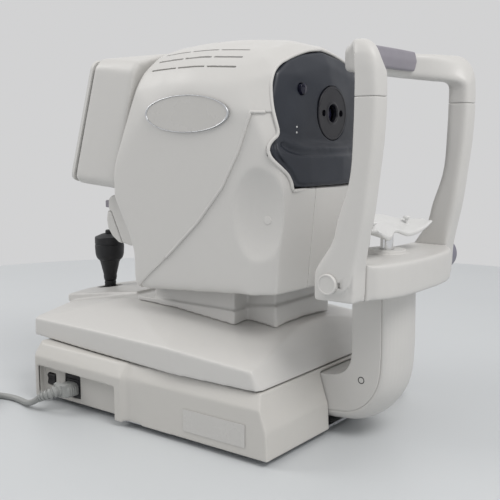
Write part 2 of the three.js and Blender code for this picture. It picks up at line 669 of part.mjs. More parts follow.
// The rows of the path with the inner edge moved back and the outer edge moved out.
function pillarRows(back, out) {
  return PILLAR_PATH.map(([inner, outer], i) => {
    const before = PILLAR_PATH[Math.max(i - 1, 0)][1];
    const after = PILLAR_PATH[Math.min(i + 1, PILLAR_PATH.length - 1)][1];
    const along = new THREE.Vector2(after[0] - before[0], after[1] - before[1]).normalize();
    const shift = ([y, z], amount) => [y - along.y * amount, z + along.x * amount];
    return [shift(inner, -back), shift(outer, out)];
  });
}

function pillarSection(i) {
  const inner = [PILLAR.halfWidth, ...PILLAR_PATH[i][0]];
  const crown = PILLAR_CROWN.map(([x, height]) => [x, ...pillarRows(0, height)[i][1]]);
  const right = [inner, ...crown];
  return [...right, ...reflected(right.slice(0, -1)).reverse()];
}

function pillarSkin(back, out, x0, x1) {
  const rows = pillarRows(back, out);
  return prismX([...rows.map(([inner]) => inner), ...rows.map(([, outer]) => outer).reverse()], x0, x1);
}

function buildPillar() {
  const full = loft(PILLAR_PATH.map((_, i) => pillarSection(i)));
  const panelX = PILLAR.halfWidth - PILLAR.panelDepth;
  const panel = pillarSkin(0, 0, panelX, PILLAR.halfWidth)
    .intersect(box(0, 100, 113, 250, 0, PILLAR.top - 1));
  const pocket = pillarSkin(5, GAP, panelX - GAP, 60).intersect(box(0, 100, 113 - GAP, 250, 0, 300));
  const bore = turned(disc(CHIN.postRadius + 1, 100, 200), 0, CHIN.y, 20);
  add('pillar_shell', full.subtract(pocket).subtract(mirrored(pocket)).subtract(bore), 'shell');
  addPair('pillar_side', panel, 'shell');

  const arc = closeHalf([
    [0, CROSSBAR.rear], [CROSSBAR.halfSpan, CROSSBAR.rear + 4], [CROSSBAR.halfSpan, CROSSBAR.endY],
    [87, 244.5], [74, 251.5], [54, 256.8], [28, 259.4], [0, CROSSBAR.front],
  ]);
  const bar = prismZ(arc, CROSSBAR.bottom, CROSSBAR.top);
  const collar = turned(disc(21.5, CROSSBAR.top - 1, CROSSBAR.collarTop), 0, CHIN.y, 28);
  const postBore = turned(disc(CHIN.postRadius + 1, 150, 220), 0, CHIN.y, 20);
  const shaftBore = turnedX(disc(4.6, -130, 0), KNOB.y, KNOB.z, 12);
  add('crossbar', bar.add(collar).subtract(postBore).subtract(shaftBore), 'shell');

  const armStations = [
    [189, 235, 175], [189, 235.5, 204], [198, 238, 217], [208, 241, 232], [214.5, 246, 256],
    [226.5, 251, 294], [230, 256, 340], [230.5, 257, ARM.seamZ - GAP],
  ].map(([y0, y1, z]) => station([ARM.inner + 1.4, z], [ARM.outer, z], y0, y1, 6));
  const arm = loft(armStations);
  add('arm_right', arm, 'shell');
  add('arm_left', mirrored(arm).subtract(turnedX(disc(4.6, -130, -80), KNOB.y, KNOB.z, 12)), 'shell');
  add('hub_cap_right', turnedX(disc(10.5, ARM.outer + GAP, ARM.outer + 3.5), 207.5, 192, 24), 'shell');
}

function buildBow() {
  const inner = ARM.inner + 1.4;
  const side = [
    station([inner, ARM.seamZ], [ARM.outer, ARM.seamZ], 230.5, 257, 6),
    station([inner, 391], [ARM.outer, 392], 230.5, 256.5, 6),
    station([inner - 1, 394], [ARM.outer - 0.5, 414], 229, 255.5, 6, 11),
    station([inner - 4, 396.5], [ARM.outer - 6, 425.5], 225, 251, 6, 13),
    station([84, 398], [95, 428], 212, 240, 6, 10),
    station([70, 400], [72, 428.5], 196, 222, 6),
    station([55, 401.5], [55, 429], 184, 207, 6),
    station([36, 402], [36, 429.5], 181, 203, 6),
    station([0, 402.5], [0, 430], 180, 201.5, 6),
  ];
  const bow = loft([...side, ...side.slice(0, -1).reverse().map(reflected)]);
  add('brow_bow', bow, 'shell');
  const padHalf = [
    [0, 208, 429.5], [0, 210, 419], [0, 208, 408.5], [53, 210, 429], [55, 211.5, 419], [53, 210, 408.5],
  ];
  const padBack = [[0, 192, 429.5], [0, 192, 408.5], [53, 196, 429], [53, 196, 408.5]];
  const pad = hull(bothSides([...padHalf, ...padBack])).subtract(bow.translate([0, GAP, 0])).subtract(bow);
  add('forehead_pad', largest(pad), 'pad');
}

function buildChinRest() {
  const section = (x, back, front, rimZ, lipZ, thick) => [
    [x, back, rimZ], [x, front, lipZ], [x, front - 1, lipZ - thick], [x, back + 2, rimZ - thick - 2],
  ];
  const half = [
    section(0, 188, 220, 252, 237, 5), section(22, 190, 225, 250, 232, 6),
    section(45, 200, 231, 244.5, 236, 5),
    section(64, 218, 233, 244, 242, 3),
  ];
  const cup = loft([...half.slice(1).reverse().map(reflected), ...half]);
  add('chin_cup', cup, 'cup');
  add('chin_post', turned(disc(CHIN.postRadius, 112, 236), 0, CHIN.y, 24)
    .subtract(cup.translate([0, 0, -GAP])).subtract(box(-60, 60, 150, 260, 238, 260)), 'chrome');

  const knob = [
    [0, -141], [17, -141], [19.5, -139], [KNOB.radius, -124], [18, -122.5], [4, -122.5], [4, -10], [0, -10],
  ];
  add('chin_knob', turnedX(knob, KNOB.y, KNOB.z, 28), 'knob');
}

// ---------------------------------------------------------------- mains lead

function tube(points, radius, steps, sides = 10) {
  const places = points.map((point) => new THREE.Vector3(...point));
  const path = new THREE.CatmullRomCurve3(places, false, 'centripetal');
  const section = Array.from({ length: sides }, (_, i) => {
    const angle = (2 * Math.PI * i) / sides;
    return new THREE.Vector2(radius * Math.cos(angle), radius * Math.sin(angle));
  });
  return solidOf(new THREE.ExtrudeGeometry(new THREE.Shape(section), { steps, extrudePath: path }));
}

function buildLead() {
  const nose = box(131, 150, INLET.y - 11, INLET.y + 11, INLET.z - 9, INLET.z + 9);
  const grip = hull([
    ...[[150, 11.5, 9.5], [166, 11.5, 9.5], [172, 9, 8.5]].flatMap(([x, halfY, halfZ]) => [
      [x, INLET.y - halfY, INLET.z - halfZ], [x, INLET.y + halfY, INLET.z - halfZ],
      [x, INLET.y - halfY, INLET.z + halfZ], [x, INLET.y + halfY, INLET.z + halfZ],
    ]),
  ]);
  const relief = loft([
    circleStation([170, -146, 27], [1, 0, 0], 7.9), circleStation([176, -146.6, 26.6], [1, -0.2, -0.1], 7.8),
    circleStation([181, -149.5, 25], [0.8, -0.7, -0.3], 7),
    circleStation([184, -155, 22.5], [0.3, -1, -0.45], 6),
    circleStation([185, -162, 19], [0.05, -1, -0.5], 5),
    circleStation([185, -168, 15.8], [0, -1, -0.55], 4.4),
  ]);
  add('lead_connector', joined(nose.add(grip), relief), 'cord');

  const radius = CORD.diameter / 2;
  const run = [
    [185, -168.4, 15.5], [184.8, -176, 11.2], [184, -185, 7.2], [182.3, -195, 4.7], [180.2, -206, 3.9],
    [178.8, -218, 3.85], [179.3, -231, 3.85], [181.8, -243, 3.85], [185.8, -254, 3.85], [189.4, -263, 3.85],
  ];
  add('mains_lead', tube(run, radius, 8), 'cord');

  const [cx, cy] = CORD.coilCentre;
  const [inner, outer] = [CORD.coilMean - CORD.coilHalf, CORD.coilMean + CORD.coilHalf];
  const coil = [
    [inner, 3], [inner + 3, 0.1], [outer - 3, 0.1], [outer, 3],
    [outer, 19.5], [outer - 3, 22.6], [inner + 3, 22.6],
    [inner, 19.5], [inner, 3],
  ];
  add('lead_coil', turned(coil, cx, cy, 28), 'cord');

  const tailX = cx + CORD.coilMean + CORD.diameter;
  const tail = [[tailX, cy + 30, 3.85], [tailX, cy + 40, 3.85], [tailX, cy + 50, 4.4]];
  add('lead_tail', tube(tail, radius, 3), 'cord');

  const start = cy + 50.4;
  const plug = joined(
    loft([
      circleStation([tailX, start, 4.6], [0, 1, 0.1], 4.4),
      circleStation([tailX, start + 26, 10.5], [0, 1, 0.2], 7),
      ovalStation([tailX, start + 30, 11.3], 13, 11), ovalStation([tailX, start + 52, 11.3], 14, 11.2),
    ]),
    box(tailX - 7.1, tailX - 5.6, start + 51, start + 69, 10.5, 16.8),
    box(tailX + 5.6, tailX + 7.1, start + 51, start + 69, 10.5, 16.8),
    turnedY(disc(2.4, start + 51, start + 72), tailX, 5.5, 12),
  );
  add('mains_plug', plug, 'cord');
}

buildBase();
buildInlet();
buildDrive();
buildStage();
buildLift();
buildJoystick();
buildHead();
buildFace();
buildMonitor();
buildPrinter();
buildPillar();
buildBow();
buildChinRest();
buildLead();

export default group;
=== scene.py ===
"""Looks for the autorefractor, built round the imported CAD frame. Metres, +Z up."""

import math

import bmesh
import bpy
import numpy as np
from mathutils import Euler, Matrix, Vector


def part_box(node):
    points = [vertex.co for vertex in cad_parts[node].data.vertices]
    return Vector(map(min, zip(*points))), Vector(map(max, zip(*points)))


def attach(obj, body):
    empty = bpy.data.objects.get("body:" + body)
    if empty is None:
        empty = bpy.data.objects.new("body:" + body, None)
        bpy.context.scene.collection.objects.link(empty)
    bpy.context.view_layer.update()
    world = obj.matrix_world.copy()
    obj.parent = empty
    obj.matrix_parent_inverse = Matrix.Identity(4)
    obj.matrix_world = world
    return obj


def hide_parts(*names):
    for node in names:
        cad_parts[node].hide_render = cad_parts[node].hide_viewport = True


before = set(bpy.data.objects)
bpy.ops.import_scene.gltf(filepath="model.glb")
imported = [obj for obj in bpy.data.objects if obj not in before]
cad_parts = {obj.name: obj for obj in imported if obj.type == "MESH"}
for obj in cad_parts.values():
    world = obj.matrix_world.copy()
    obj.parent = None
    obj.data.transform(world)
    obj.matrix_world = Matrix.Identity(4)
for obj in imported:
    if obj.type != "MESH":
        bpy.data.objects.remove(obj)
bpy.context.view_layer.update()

MM = 0.001
COARSE = 1  # voxels grow by this while trying things out
SIDES = (("right", 1), ("left", -1))

# ---- camera, floor and light


CAMERA_PLACE = (796.54, 623.40, 339.18)
CAMERA_AZIMUTH = 127.18  # degrees round from the operator's side
CAMERA_ELEVATION = 8.14
CAMERA_LENS = 58.5
CAMERA_SENSOR = 36
LIGHT_TARGET = (0, 0, 0.22)
# Name, place in metres, size, power and colour of each light.
LIGHTS = [
    ("key", (0.9, -1.7, 1.5), 1.2, 14, (1.0, 0.985, 0.965)),
    ("front_fill", (0.4, 1.6, 2.1), 1.2, 27, (1.0, 0.985, 0.97)),
    ("back_fill", (-1.8, -1.4, 1.5), 1.8, 2, (0.98, 0.985, 1.0)),
]
WORLD_COLOUR = (0.70, 0.70, 0.705, 1)
WORLD_STRENGTH = 0.92


def vector_mm(x, y, z):
    return Vector((x, y, z)) * MM


def look(obj, place, direction):
    """Stands a camera or a light at a place in metres, turned to a direction."""
    obj.location = place
    obj.rotation_mode = "QUATERNION"
    obj.rotation_quaternion = direction.to_track_quat("-Z", "Y")


def make_camera():
    azimuth = math.radians(CAMERA_AZIMUTH)
    elevation = math.radians(CAMERA_ELEVATION)
    back = Vector((
        math.sin(azimuth) * math.cos(elevation),
        -math.cos(azimuth) * math.cos(elevation),
        math.sin(elevation),
    ))
    data = bpy.data.cameras.new("camera")
    data.sensor_width = CAMERA_SENSOR
    data.lens = CAMERA_LENS
    data.clip_start = 0.01
    data.clip_end = 60
    camera = as_object("camera", data)
    look(camera, vector_mm(*CAMERA_PLACE), -back)
    bpy.context.scene.camera = camera


def area_light(name, place, size, power, colour):
    data = bpy.data.lights.new(name, "AREA")
    data.shape = "DISK"
    data.size = size
    data.energy = power
    data.color = colour
    look(as_object(name, data), place, Vector(LIGHT_TARGET) - Vector(place))


def make_lights():
    for light in LIGHTS:
        area_light(*light)
    world = bpy.data.worlds.new("studio")
    world.use_nodes = True
    background = world.node_tree.nodes["Background"]
    background.inputs["Color"].default_value = WORLD_COLOUR
    background.inputs["Strength"].default_value = WORLD_STRENGTH
    bpy.context.scene.world = world
    bpy.context.scene.view_settings.view_transform = "Standard"


# ---- materials


class Finish:
    """A procedural material: a principled shader with nodes added by the methods below."""

    def __init__(self, name, colour, roughness, metallic=0.0):
        self.material = bpy.data.materials.new(name)
        self.material.use_nodes = True
        self.tree = self.material.node_tree
        self.shader = self.tree.nodes["Principled BSDF"]
        self.set("Base Color", (*colour, 1))
        self.set("Roughness", roughness)
        self.set("Metallic", metallic)
        self.bump = None
        self.coordinates = self.node("ShaderNodeTexCoord", "Object", {})

    def set(self, socket, value):
        self.shader.inputs[socket].default_value = value

    def link(self, source, socket):
        self.tree.links.new(source, self.shader.inputs[socket])

    def node(self, kind, output, values):
        """Output of a new node whose sockets take values or other nodes' outputs."""
        node = self.tree.nodes.new(kind)
        if kind == "ShaderNodeMix":
            node.data_type = "RGBA"
        for socket, value in values.items():
            if isinstance(value, bpy.types.NodeSocket):
                self.tree.links.new(value, node.inputs[socket])
            else:
                node.inputs[socket].default_value = value
        return node.outputs[output]

    def noise(self, scale, detail=3.0, stretch=None):
        place = self.coordinates
        if stretch is not None:
            place = self.node("ShaderNodeMapping", "Vector", {"Scale": stretch, "Vector": place})
        values = {"Scale": scale, "Detail": detail, "Vector": place}
        return self.node("ShaderNodeTexNoise", "Fac", values)

    def cells(self, scale):
        values = {"Scale": scale, "Vector": self.coordinates}
        return self.node("ShaderNodeTexVoronoi", "Distance", values)

    def ranged(self, source, low, high, from_low=0.3, from_high=0.7):
        return self.node("ShaderNodeMapRange", "Result", {
            "Value": source, "From Min": from_low, "From Max": from_high, "To Min": low, "To Max": high,
        })

    def tint(self, source, amount, colour, from_low=0.3, from_high=0.7):
        """Mixes in up to an amount of another colour, over the colour that the surface has so far."""
        factor = self.ranged(source, 0, amount, from_low, from_high)
        base = self.shader.inputs["Base Color"]
        below = base.links[0].from_socket if base.is_linked else base.default_value
        values = {"Factor": factor, "A": below, "B": (*colour, 1)}
        self.link(self.node("ShaderNodeMix", "Result", values), "Base Color")

    def relief(self, height, depth, strength=1.0):
        """Adds bumps of a depth in metres on top of those that the surface has."""
        values = {"Height": height, "Distance": depth, "Strength": strength}
        if self.bump is not None:
            values["Normal"] = self.bump
        self.bump = self.node("ShaderNodeBump", "Normal", values)
        self.link(self.bump, "Normal")

    def rough(self, source, low, high):
        self.link(self.ranged(source, low, high), "Roughness")

    def worn_edges(self, amount, colour):
        """Tints the edges that hands and cloths rub."""
        edges = self.node("ShaderNodeNewGeometry", "Pointiness", {})
        self.tint(edges, amount, colour, 0.51, 0.60)


def shade(colour, factor):
    return tuple(min(1.0, channel * factor) for channel in colour)


def moulded(name, colour, roughness, grain=0.00002, grain_scale=1500):
    """Injection-moulded plastic: spark-eroded grain, faint flow marks and rubbed edges."""
    finish = Finish(name, colour, roughness)
    finish.tint(finish.noise(7, 4), 0.5, shade(colour, 0.965))
    finish.tint(finish.noise(70, 5), 0.25, shade(colour, 0.93), 0.55, 0.8)
    finish.worn_edges(0.5, shade(colour, 1.12))
    finish.relief(finish.noise(9, 2), 0.0003, 0.25)
    finish.relief(finish.noise(grain_scale, 2), grain, 0.6)
    finish.rough(finish.noise(35, 4), roughness - 0.05, roughness + 0.07)
    return finish


def soft_rubber(name, colour, roughness, pebble_scale=900, pebble_depth=0.00006):
    finish = Finish(name, colour, roughness)
    finish.tint(finish.noise(40, 5), 0.6, shade(colour, 0.85))
    finish.worn_edges(0.35, shade(colour, 1.35))
    finish.relief(finish.cells(pebble_scale), pebble_depth, 0.7)
    finish.rough(finish.noise(90, 4), roughness - 0.08, roughness + 0.08)
    finish.set("Sheen Weight", 0.04)
    finish.set("Sheen Roughness", 0.5)
    return finish


def metal(name, colour, roughness, stretch=(1, 40, 1), scratch=0.00002):
    finish = Finish(name, colour, roughness, 1.0)
    lines = finish.noise(220, 6, stretch)
    finish.tint(lines, 0.4, shade(colour, 0.8))
    finish.relief(lines, scratch, 0.5)
    finish.rough(lines, roughness * 0.75, roughness * 1.35)
    finish.worn_edges(0.3, shade(colour, 1.15))
    return finish


def make_materials():
    shell = (0.610, 0.600, 0.580)
    # The base's colour is the shell's colour made darker and warmer: painted shade for the shade that
    # falls on the base's low sides under the stage.
    lower = (0.575, 0.560, 0.530)
    finishes = {
        "shell": moulded("moulded_shell", shell, 0.42),
        "lower_shell": moulded("moulded_base_painted_shade", lower, 0.46),
        "dark_panel": moulded("slate_panel", (0.020, 0.024, 0.034), 0.42),
        "window_disc": moulded("window_black", (0.010, 0.010, 0.015), 0.34, 0.00001),
        "black_plastic": moulded("black_moulding", (0.012, 0.012, 0.014), 0.42),
        "pad": soft_rubber("brow_vinyl", (0.270, 0.255, 0.290), 0.55, 1100),
        "knob": soft_rubber("knob_rubber", (0.185, 0.180, 0.225), 0.5, 1300),
        "black_rubber": soft_rubber("black_rubber", (0.005, 0.005, 0.007), 0.50, 1500),
        "cord": soft_rubber("cord_sheath", (0.310, 0.318, 0.310), 0.5, 1600, 0.00003),
        "steel": metal("ground_steel", (0.52, 0.53, 0.55), 0.28),
        "aluminium": metal("milled_aluminium", (0.60, 0.61, 0.63), 0.36, (40, 1, 1)),
        "chrome": metal("bright_chrome", (0.78, 0.79, 0.80), 0.10, (1, 1, 60), 0.000004),
        "cup": moulded("white_cup", (0.700, 0.700, 0.690), 0.33),
        "paper": moulded("thermal_paper", (0.86, 0.855, 0.83), 0.85),
        "label": moulded("plain_foil", (0.545, 0.535, 0.515), 0.26, 0.00001),
    }
    screen = Finish("display_glass", (0.010, 0.012, 0.016), 0.08)
    screen.rough(screen.noise(20, 3), 0.06, 0.12)
    screen.tint(screen.noise(4, 2), 0.5, (0.018, 0.022, 0.030))
    screen.set("Coat Weight", 0.5)
    finishes["screen"] = screen
    glass = Finish("coated_lens", (0.006, 0.007, 0.014), 0.03)
    glass.tint(glass.noise(60, 2), 0.8, (0.010, 0.008, 0.030))
    glass.rough(glass.noise(200, 2), 0.02, 0.05)
    glass.set("Coat Weight", 0.1)
    glass.set("Coat Roughness", 0.02)
    glass.set("Specular IOR Level", 0.3)
    finishes["glass"] = glass
    return {slot: finish.material for slot, finish in finishes.items()}


MATERIALS = make_materials()

# ---- mesh helpers


def as_object(name, mesh):
    obj = bpy.data.objects.new(name, mesh)
    bpy.context.scene.collection.objects.link(obj)
    return obj


def as_mesh(name, bm):
    """Mesh with a bmesh's faces, whose outsides are found first."""
    bmesh.ops.recalc_face_normals(bm, faces=bm.faces)
    mesh = bpy.data.meshes.new(name)
    bm.to_mesh(mesh)
    bm.free()
    return mesh


def merged(mesh, distance):
    """Bmesh of a mesh, with its corners that meet joined."""
    bm = bmesh.new()
    bm.from_mesh(mesh)
    bmesh.ops.remove_doubles(bm, verts=bm.verts, dist=distance)
    return bm


def from_faces(name, points, faces):
    """Mesh object from points in millimetres."""
    loose = bpy.data.meshes.new(name)
    loose.from_pydata([tuple(c * MM for c in point) for point in points], [], faces)
    obj = as_object(name, as_mesh(name, merged(loose, 1e-7)))
    bpy.data.meshes.remove(loose)
    return obj


def rounded(corners, steps=8):
    """Outline from corners (u, v) or (u, v, radius), with the radius drawn as a smooth turn."""
    outline = []
    for i, corner in enumerate(corners):
        u, v, radius = (*corner, 0)[:3]
        here = Vector((u, v))
        if not radius:
            outline.append(here)
            continue
        to_before = (Vector(corners[i - 1][:2]) - here).normalized()
        to_after = (Vector(corners[(i + 1) % len(corners)][:2]) - here).normalized()
        half = math.acos(max(-1, min(1, to_before.dot(to_after)))) / 2
        reach = radius / math.tan(half)
        start, end = here + to_before * reach, here + to_after * reach
        for k in range(steps + 1):
            t = k / steps
            outline.append(start * (1 - t) ** 2 + here * (2 * t * (1 - t)) + end * t * t)
    return outline


def prism(axis, corners, low, high, steps=8):
    """Outline in the two other axes, in alphabetical order, extruded along an axis."""
    outline = rounded(corners, steps)
    place = {
        "x": lambda p, h: (h, p.x, p.y),
        "y": lambda p, h: (p.x, h, p.y),
        "z": lambda p, h: (p.x, p.y, h),
    }[axis]
    count = len(outline)
    points = [place(p, h) for h in (low, high) for p in outline]
    sides = [(i, (i + 1) % count, count + (i + 1) % count, count + i) for i in range(count)]
    caps = [tuple(range(count)), tuple(range(count, 2 * count))]
    return from_faces("prism", points, sides + caps)


def pane(u0, u1, v0, v1, low=0, high=0):
    """Corners of a rectangle, with the radii of its low and high corners."""
    return [(u0, v0, low), (u1, v0, low), (u1, v1, high), (u0, v1, high)]


def block(x0, x1, y0, y1, z0, z1):
    return prism("z", pane(x0, x1, y0, y1), z0, z1)


def span(side, near, far):
    """The lower and the higher end of a stretch on one side of the middle."""
    return sorted((side * near, side * far))


def hull(points):
    bm = bmesh.new()
    for point in points:
        bm.verts.new(vector_mm(*point))
    made = bmesh.ops.convex_hull(bm, input=bm.verts)
    inside = [v for v in made["geom_interior"] if isinstance(v, bmesh.types.BMVert)]
    bmesh.ops.delete(bm, geom=inside, context="VERTS")
    return as_object("hull", as_mesh("hull", bm))


def opposite(points):
    return [(-x, y, z) for x, y, z in points]


def both_sides(points):
    return points + opposite(points)


def close_half(half):
    left = [(-corner[0], *corner[1:]) for corner in half if corner[0] > 0]
    return half + left[::-1]


def lathe(profile, centre=(0, 0, 0), axis="z", segments=72):
    """Closed round body from (radius, height) steps; a profile off the axis closes on itself."""
    points, faces = [], []
    for k in range(segments):
        angle = 2 * math.pi * k / segments
        for radius, height in profile:
            u, v = radius * math.cos(angle), radius * math.sin(angle)
            local = {"x": (height, u, v), "y": (u, height, v), "z": (u, v, height)}[axis]
            points.append(tuple(c + local[i] for i, c in enumerate(centre)))
    count = len(profile)
    for k in range(segments):
        a, b = k * count, ((k + 1) % segments) * count
        for i in range(count):
            j = (i + 1) % count
            face = [a + i, a + j]
            if profile[j][0]:
                face.append(b + j)
            if profile[i][0]:
                face.append(b + i)
            if len(face) > 2:
                faces.append(face)
    return from_faces("lathe", points, faces)


def rod(radius, low, high, centre, axis, segments):
    profile = [(0, low), (radius, low), (radius, high), (0, high)]
    return lathe(profile, centre, axis, segments)


def loft(stations, closed=False):
    """Skin over rings of points in millimetres, with its ends closed or joined to each other."""
    count = len(stations[0])
    points = [point for ring in stations for point in ring]
    starts = [s * count for s in range(len(stations))]
    faces = []
    for here, after in zip(starts, starts[1:] + (starts[:1] if closed else [])):
        for i in range(count):
            j = (i + 1) % count
            faces.append((here + i, here + j, after + j, after + i))
    if not closed:
        faces.append(tuple(range(count)))
        faces.append(tuple(range(starts[-1], starts[-1] + count)))
    return from_faces("loft", points, faces)


def eased(rings, step):
    """Rings no more than a step apart, on smooth curves through the points of those given."""
    solid = np.array(rings, float)
    apart = np.linalg.norm(np.diff(solid.mean(axis=1), axis=0), axis=1)
    slope = np.gradient(solid, np.concatenate([[0], np.cumsum(apart)]), axis=0)
    result = []
    for i, length in enumerate(apart):
        count = max(1, round(length / step))
        for t in np.arange(count) / count:
            leave = (2 * t**3 - 3 * t**2 + 1) * solid[i] + (t**3 - 2 * t**2 + t) * length * slope[i]
            arrive = (3 * t**2 - 2 * t**3) * solid[i + 1] + (t**3 - t**2) * length * slope[i + 1]
            result.append((leave + arrive).tolist())
    result.append(solid[-1].tolist())
    return result


def duplicate(obj):
    copy = as_object(obj.name, obj.data.copy())
    copy.matrix_world = obj.matrix_world
    return copy


def of_node(node):
    """A free copy of a CAD node's mesh, with its triangles' shared corners merged."""
    copy = as_object(node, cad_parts[node].data.copy())
    copy.data.materials.clear()
    bm = merged(copy.data, 1e-6)
    bm.to_mesh(copy.data)
    bm.free()
    return copy


def mirror(obj):
    obj.data.transform(Matrix.Diagonal((-1, 1, 1, 1)))
    obj.data.flip_normals()
    return obj


def touch(obj, start, direction):
    """Where a line from a start in millimetres first meets a piece, and the surface's normal."""
    _, place, normal, _ = obj.ray_cast(vector_mm(*start), Vector(direction))
    return place / MM, normal


def set_on(obj, place, normal):
    """Stands a piece made round the origin and the Z axis on a surface."""
    turn = normal.to_track_quat("Z", "Y").to_matrix().to_4x4()
    obj.data.transform(Matrix.Translation(place * MM) @ turn)
    return obj


def evaluated_mesh(obj):
    graph = bpy.context.evaluated_depsgraph_get()
    return bpy.data.meshes.new_from_object(obj.evaluated_get(graph))


def modified(obj, kind, **settings):
    """Gives an object a modifier and applies it to its mesh."""
    modifier = obj.modifiers.new(kind.lower(), kind)
    for name, value in settings.items():
        setattr(modifier, name, value)
    mesh = evaluated_mesh(obj)
    obj.modifiers.clear()
    obj.data = mesh
    return obj


def discard(obj):
    bpy.data.objects.remove(obj)


def combine(obj, other, operation):
    modified(obj, "BOOLEAN", operation=operation, solver="MANIFOLD", object=other)
    discard(other)
    return obj


def cut(obj, *tools):
    for tool in tools:
        combine(obj, tool, "DIFFERENCE")
    return obj


def keep_within(obj, tool):
    return combine(obj, tool, "INTERSECT")


def join(obj, *others):
    for other in others:
        combine(obj, other, "UNION")
    return obj


def remesh(obj, voxel):
    return modified(obj, "REMESH", mode="VOXEL", voxel_size=voxel * COARSE * MM)


def read_points(mesh):
    co = np.empty(len(mesh.vertices) * 3)
    mesh.vertices.foreach_get("co", co)
    return co.reshape(-1, 3)


def write_points(mesh, co):
    mesh.vertices.foreach_set("co", co.ravel())
    mesh.update()


def iron(obj, radius, voxel, keep=None):
    """Relaxes a remeshed surface over a radius in millimetres, but not where keep(points) is 1."""
    mesh = obj.data
    count = len(mesh.vertices)
    co = read_points(mesh)
    ends = np.empty(len(mesh.edges) * 2, np.int64)
    mesh.edges.foreach_get("vertices", ends)
    a, b = ends[0::2], ends[1::2]
    degree = np.maximum(np.bincount(ends, minlength=count), 1)[:, None]
    weight = np.full((count, 1), 0.5)
    if keep is not None:
        weight *= 1 - np.clip(keep(co / MM), 0, 1)[:, None]
    passes = max(1, round(4 * (radius / (voxel * COARSE)) ** 2))
    for _ in range(passes):
        total = np.empty_like(co)
        for axis in range(3):
            total[:, axis] = np.bincount(a, co[b, axis], count) + np.bincount(b, co[a, axis], count)
        co += weight * (total / degree - co)
    write_points(mesh, co)
    return obj


def grown(obj, distance):
    """Moves every point of a smooth surface out along its normal, in millimetres."""
    normals = np.empty(len(obj.data.vertices) * 3)
    obj.data.vertex_normals.foreach_get("vector", normals)
    write_points(obj.data, read_points(obj.data) + normals.reshape(-1, 3) * distance * MM)
    return obj


def finished(obj, name, body, slot, nodes=(), thin=None, crease=None):
    """Names a made piece, shades it, gives it its material, ties it to its body and hides the CAD nodes
    that it stands in for.
    """
    if thin:
        modified(obj, "DECIMATE", ratio=thin)
    obj.name = name
    obj.data.materials.clear()
    obj.data.materials.append(MATERIALS[slot])
    if crease is None:
        obj.data.shade_smooth()
    else:
        obj.data.set_sharp_from_angle(angle=math.radians(crease))
    modified(obj, "WEIGHTED_NORMAL", keep_sharp=True)
    obj.data.name = name
    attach(obj, body)
    if nodes:
        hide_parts(*nodes)
    return obj


def softened(obj, voxel, radius, keep=None):
    remesh(obj, voxel)
    return iron(obj, radius, voxel, keep)


def bevelled(obj, width, segments=3, angle=30):
    return modified(
        obj, "BEVEL", width=width * MM, segments=segments, limit_method="ANGLE",
        angle_limit=math.radians(angle),
    )


def cast(name, node, body, slot, voxel, radius, thin):
    """The CAD node's own shape as a soft-edged moulding."""
    finished(softened(of_node(node), voxel, radius), name, body, slot, [node], thin)


# ---- mains lead

LEAD_DIAMETER = 7.5
LEAD_EXIT = (185, -168.4, 15.5)
LEAD_RUN = [
    LEAD_EXIT, (184.8, -176, 11.2), (184, -185, 7.2), (182.3, -195, 4.7), (180.2, -206, 3.9),
    (178.8, -218, 3.85), (179.3, -231, 3.85), (181.8, -243, 3.85), (185.8, -254, 3.85),
    (189.4, -263, 3.85),
]
COIL_CENTRE = (246, -279)
COIL_START = 164  # degrees round the coil where the run meets it
# Turns of the coil as (degrees wound so far, radius, height): three rings on the table, three on
# top of them, and a last one that comes down round the outside.
COIL_WINDING = [
    (8, 58.2, 3.85), (50, 49.6, 3.85), (300, 49.6, 3.85), (360, 42, 3.85), (660, 42, 3.85),
    (720, 34.4, 3.85), (960, 34.4, 3.85), (1030, 34.4, 11.4), (1240, 34.4, 11.4),
    (1310, 42, 11.4), (1600, 42, 11.4), (1670, 49.6, 11.4), (1890, 49.6, 11.4),
    (1965, 49.6, 19), (2125, 49.6, 19), (2165, 55, 16.8),
    (2205, 57.6, 11.2), (2240, 57.8, 5.6), (2270, 57.8, 3.85), (2335, 58, 3.85),
]
LEAD_TAIL = [
    (303.4, -279, 3.85), (299.2, -264, 3.85), (296.2, -252, 3.85), (295.5, -241, 4.0),
    (295.5, -229, 4.4),
]
PLUG_PLACE = (295.5, -228.8)  # x and y where the plug's relief starts


def coil_points(step=20):
    """Points along the coil, eased between the rings."""
    points = []
    first, last = COIL_WINDING[0][0], COIL_WINDING[-1][0]
    for wound in range(first, last + 1, step):
        index = max(i for i, turn in enumerate(COIL_WINDING) if turn[0] <= wound)
        here = COIL_WINDING[index]
        after = COIL_WINDING[min(index + 1, len(COIL_WINDING) - 1)]
        share = (wound - here[0]) / max(after[0] - here[0], 1)
        share = share * share * (3 - 2 * share)
        radius = here[1] + (after[1] - here[1]) * share
        height = here[2] + (after[2] - here[2]) * share
        angle = math.radians(COIL_START + wound)
        x = COIL_CENTRE[0] + radius * math.cos(angle)
        y = COIL_CENTRE[1] + radius * math.sin(angle)
        points.append((x, y, height))
    return points


def curve_through(name, points, resolution):
    data = bpy.data.curves.new(name, "CURVE")
    data.dimensions = "3D"
    data.resolution_u = resolution
    spline = data.splines.new("BEZIER")
    spline.bezier_points.add(len(points) - 1)
    for handle, point in zip(spline.bezier_points, points):
        handle.co = point
        handle.handle_left_type = "AUTO"
        handle.handle_right_type = "AUTO"
    return as_object(name, data)


def ribbed_sleeve(name, points, count, start, taper, ribbed, pitch, depth):
    """Strain relief that tapers along a line, grooved for three steps of every pitch."""
    rings = []
    for i, (centre, forward) in enumerate(smooth_line(points, count)):
        radius = start + taper * (i / (count - 1))
        if i in ribbed and i % pitch < 3:
            radius -= depth
        rings.append(ring_points(centre, forward, radius))
    return finished(loft(rings), name, "base", "cord", crease=35)


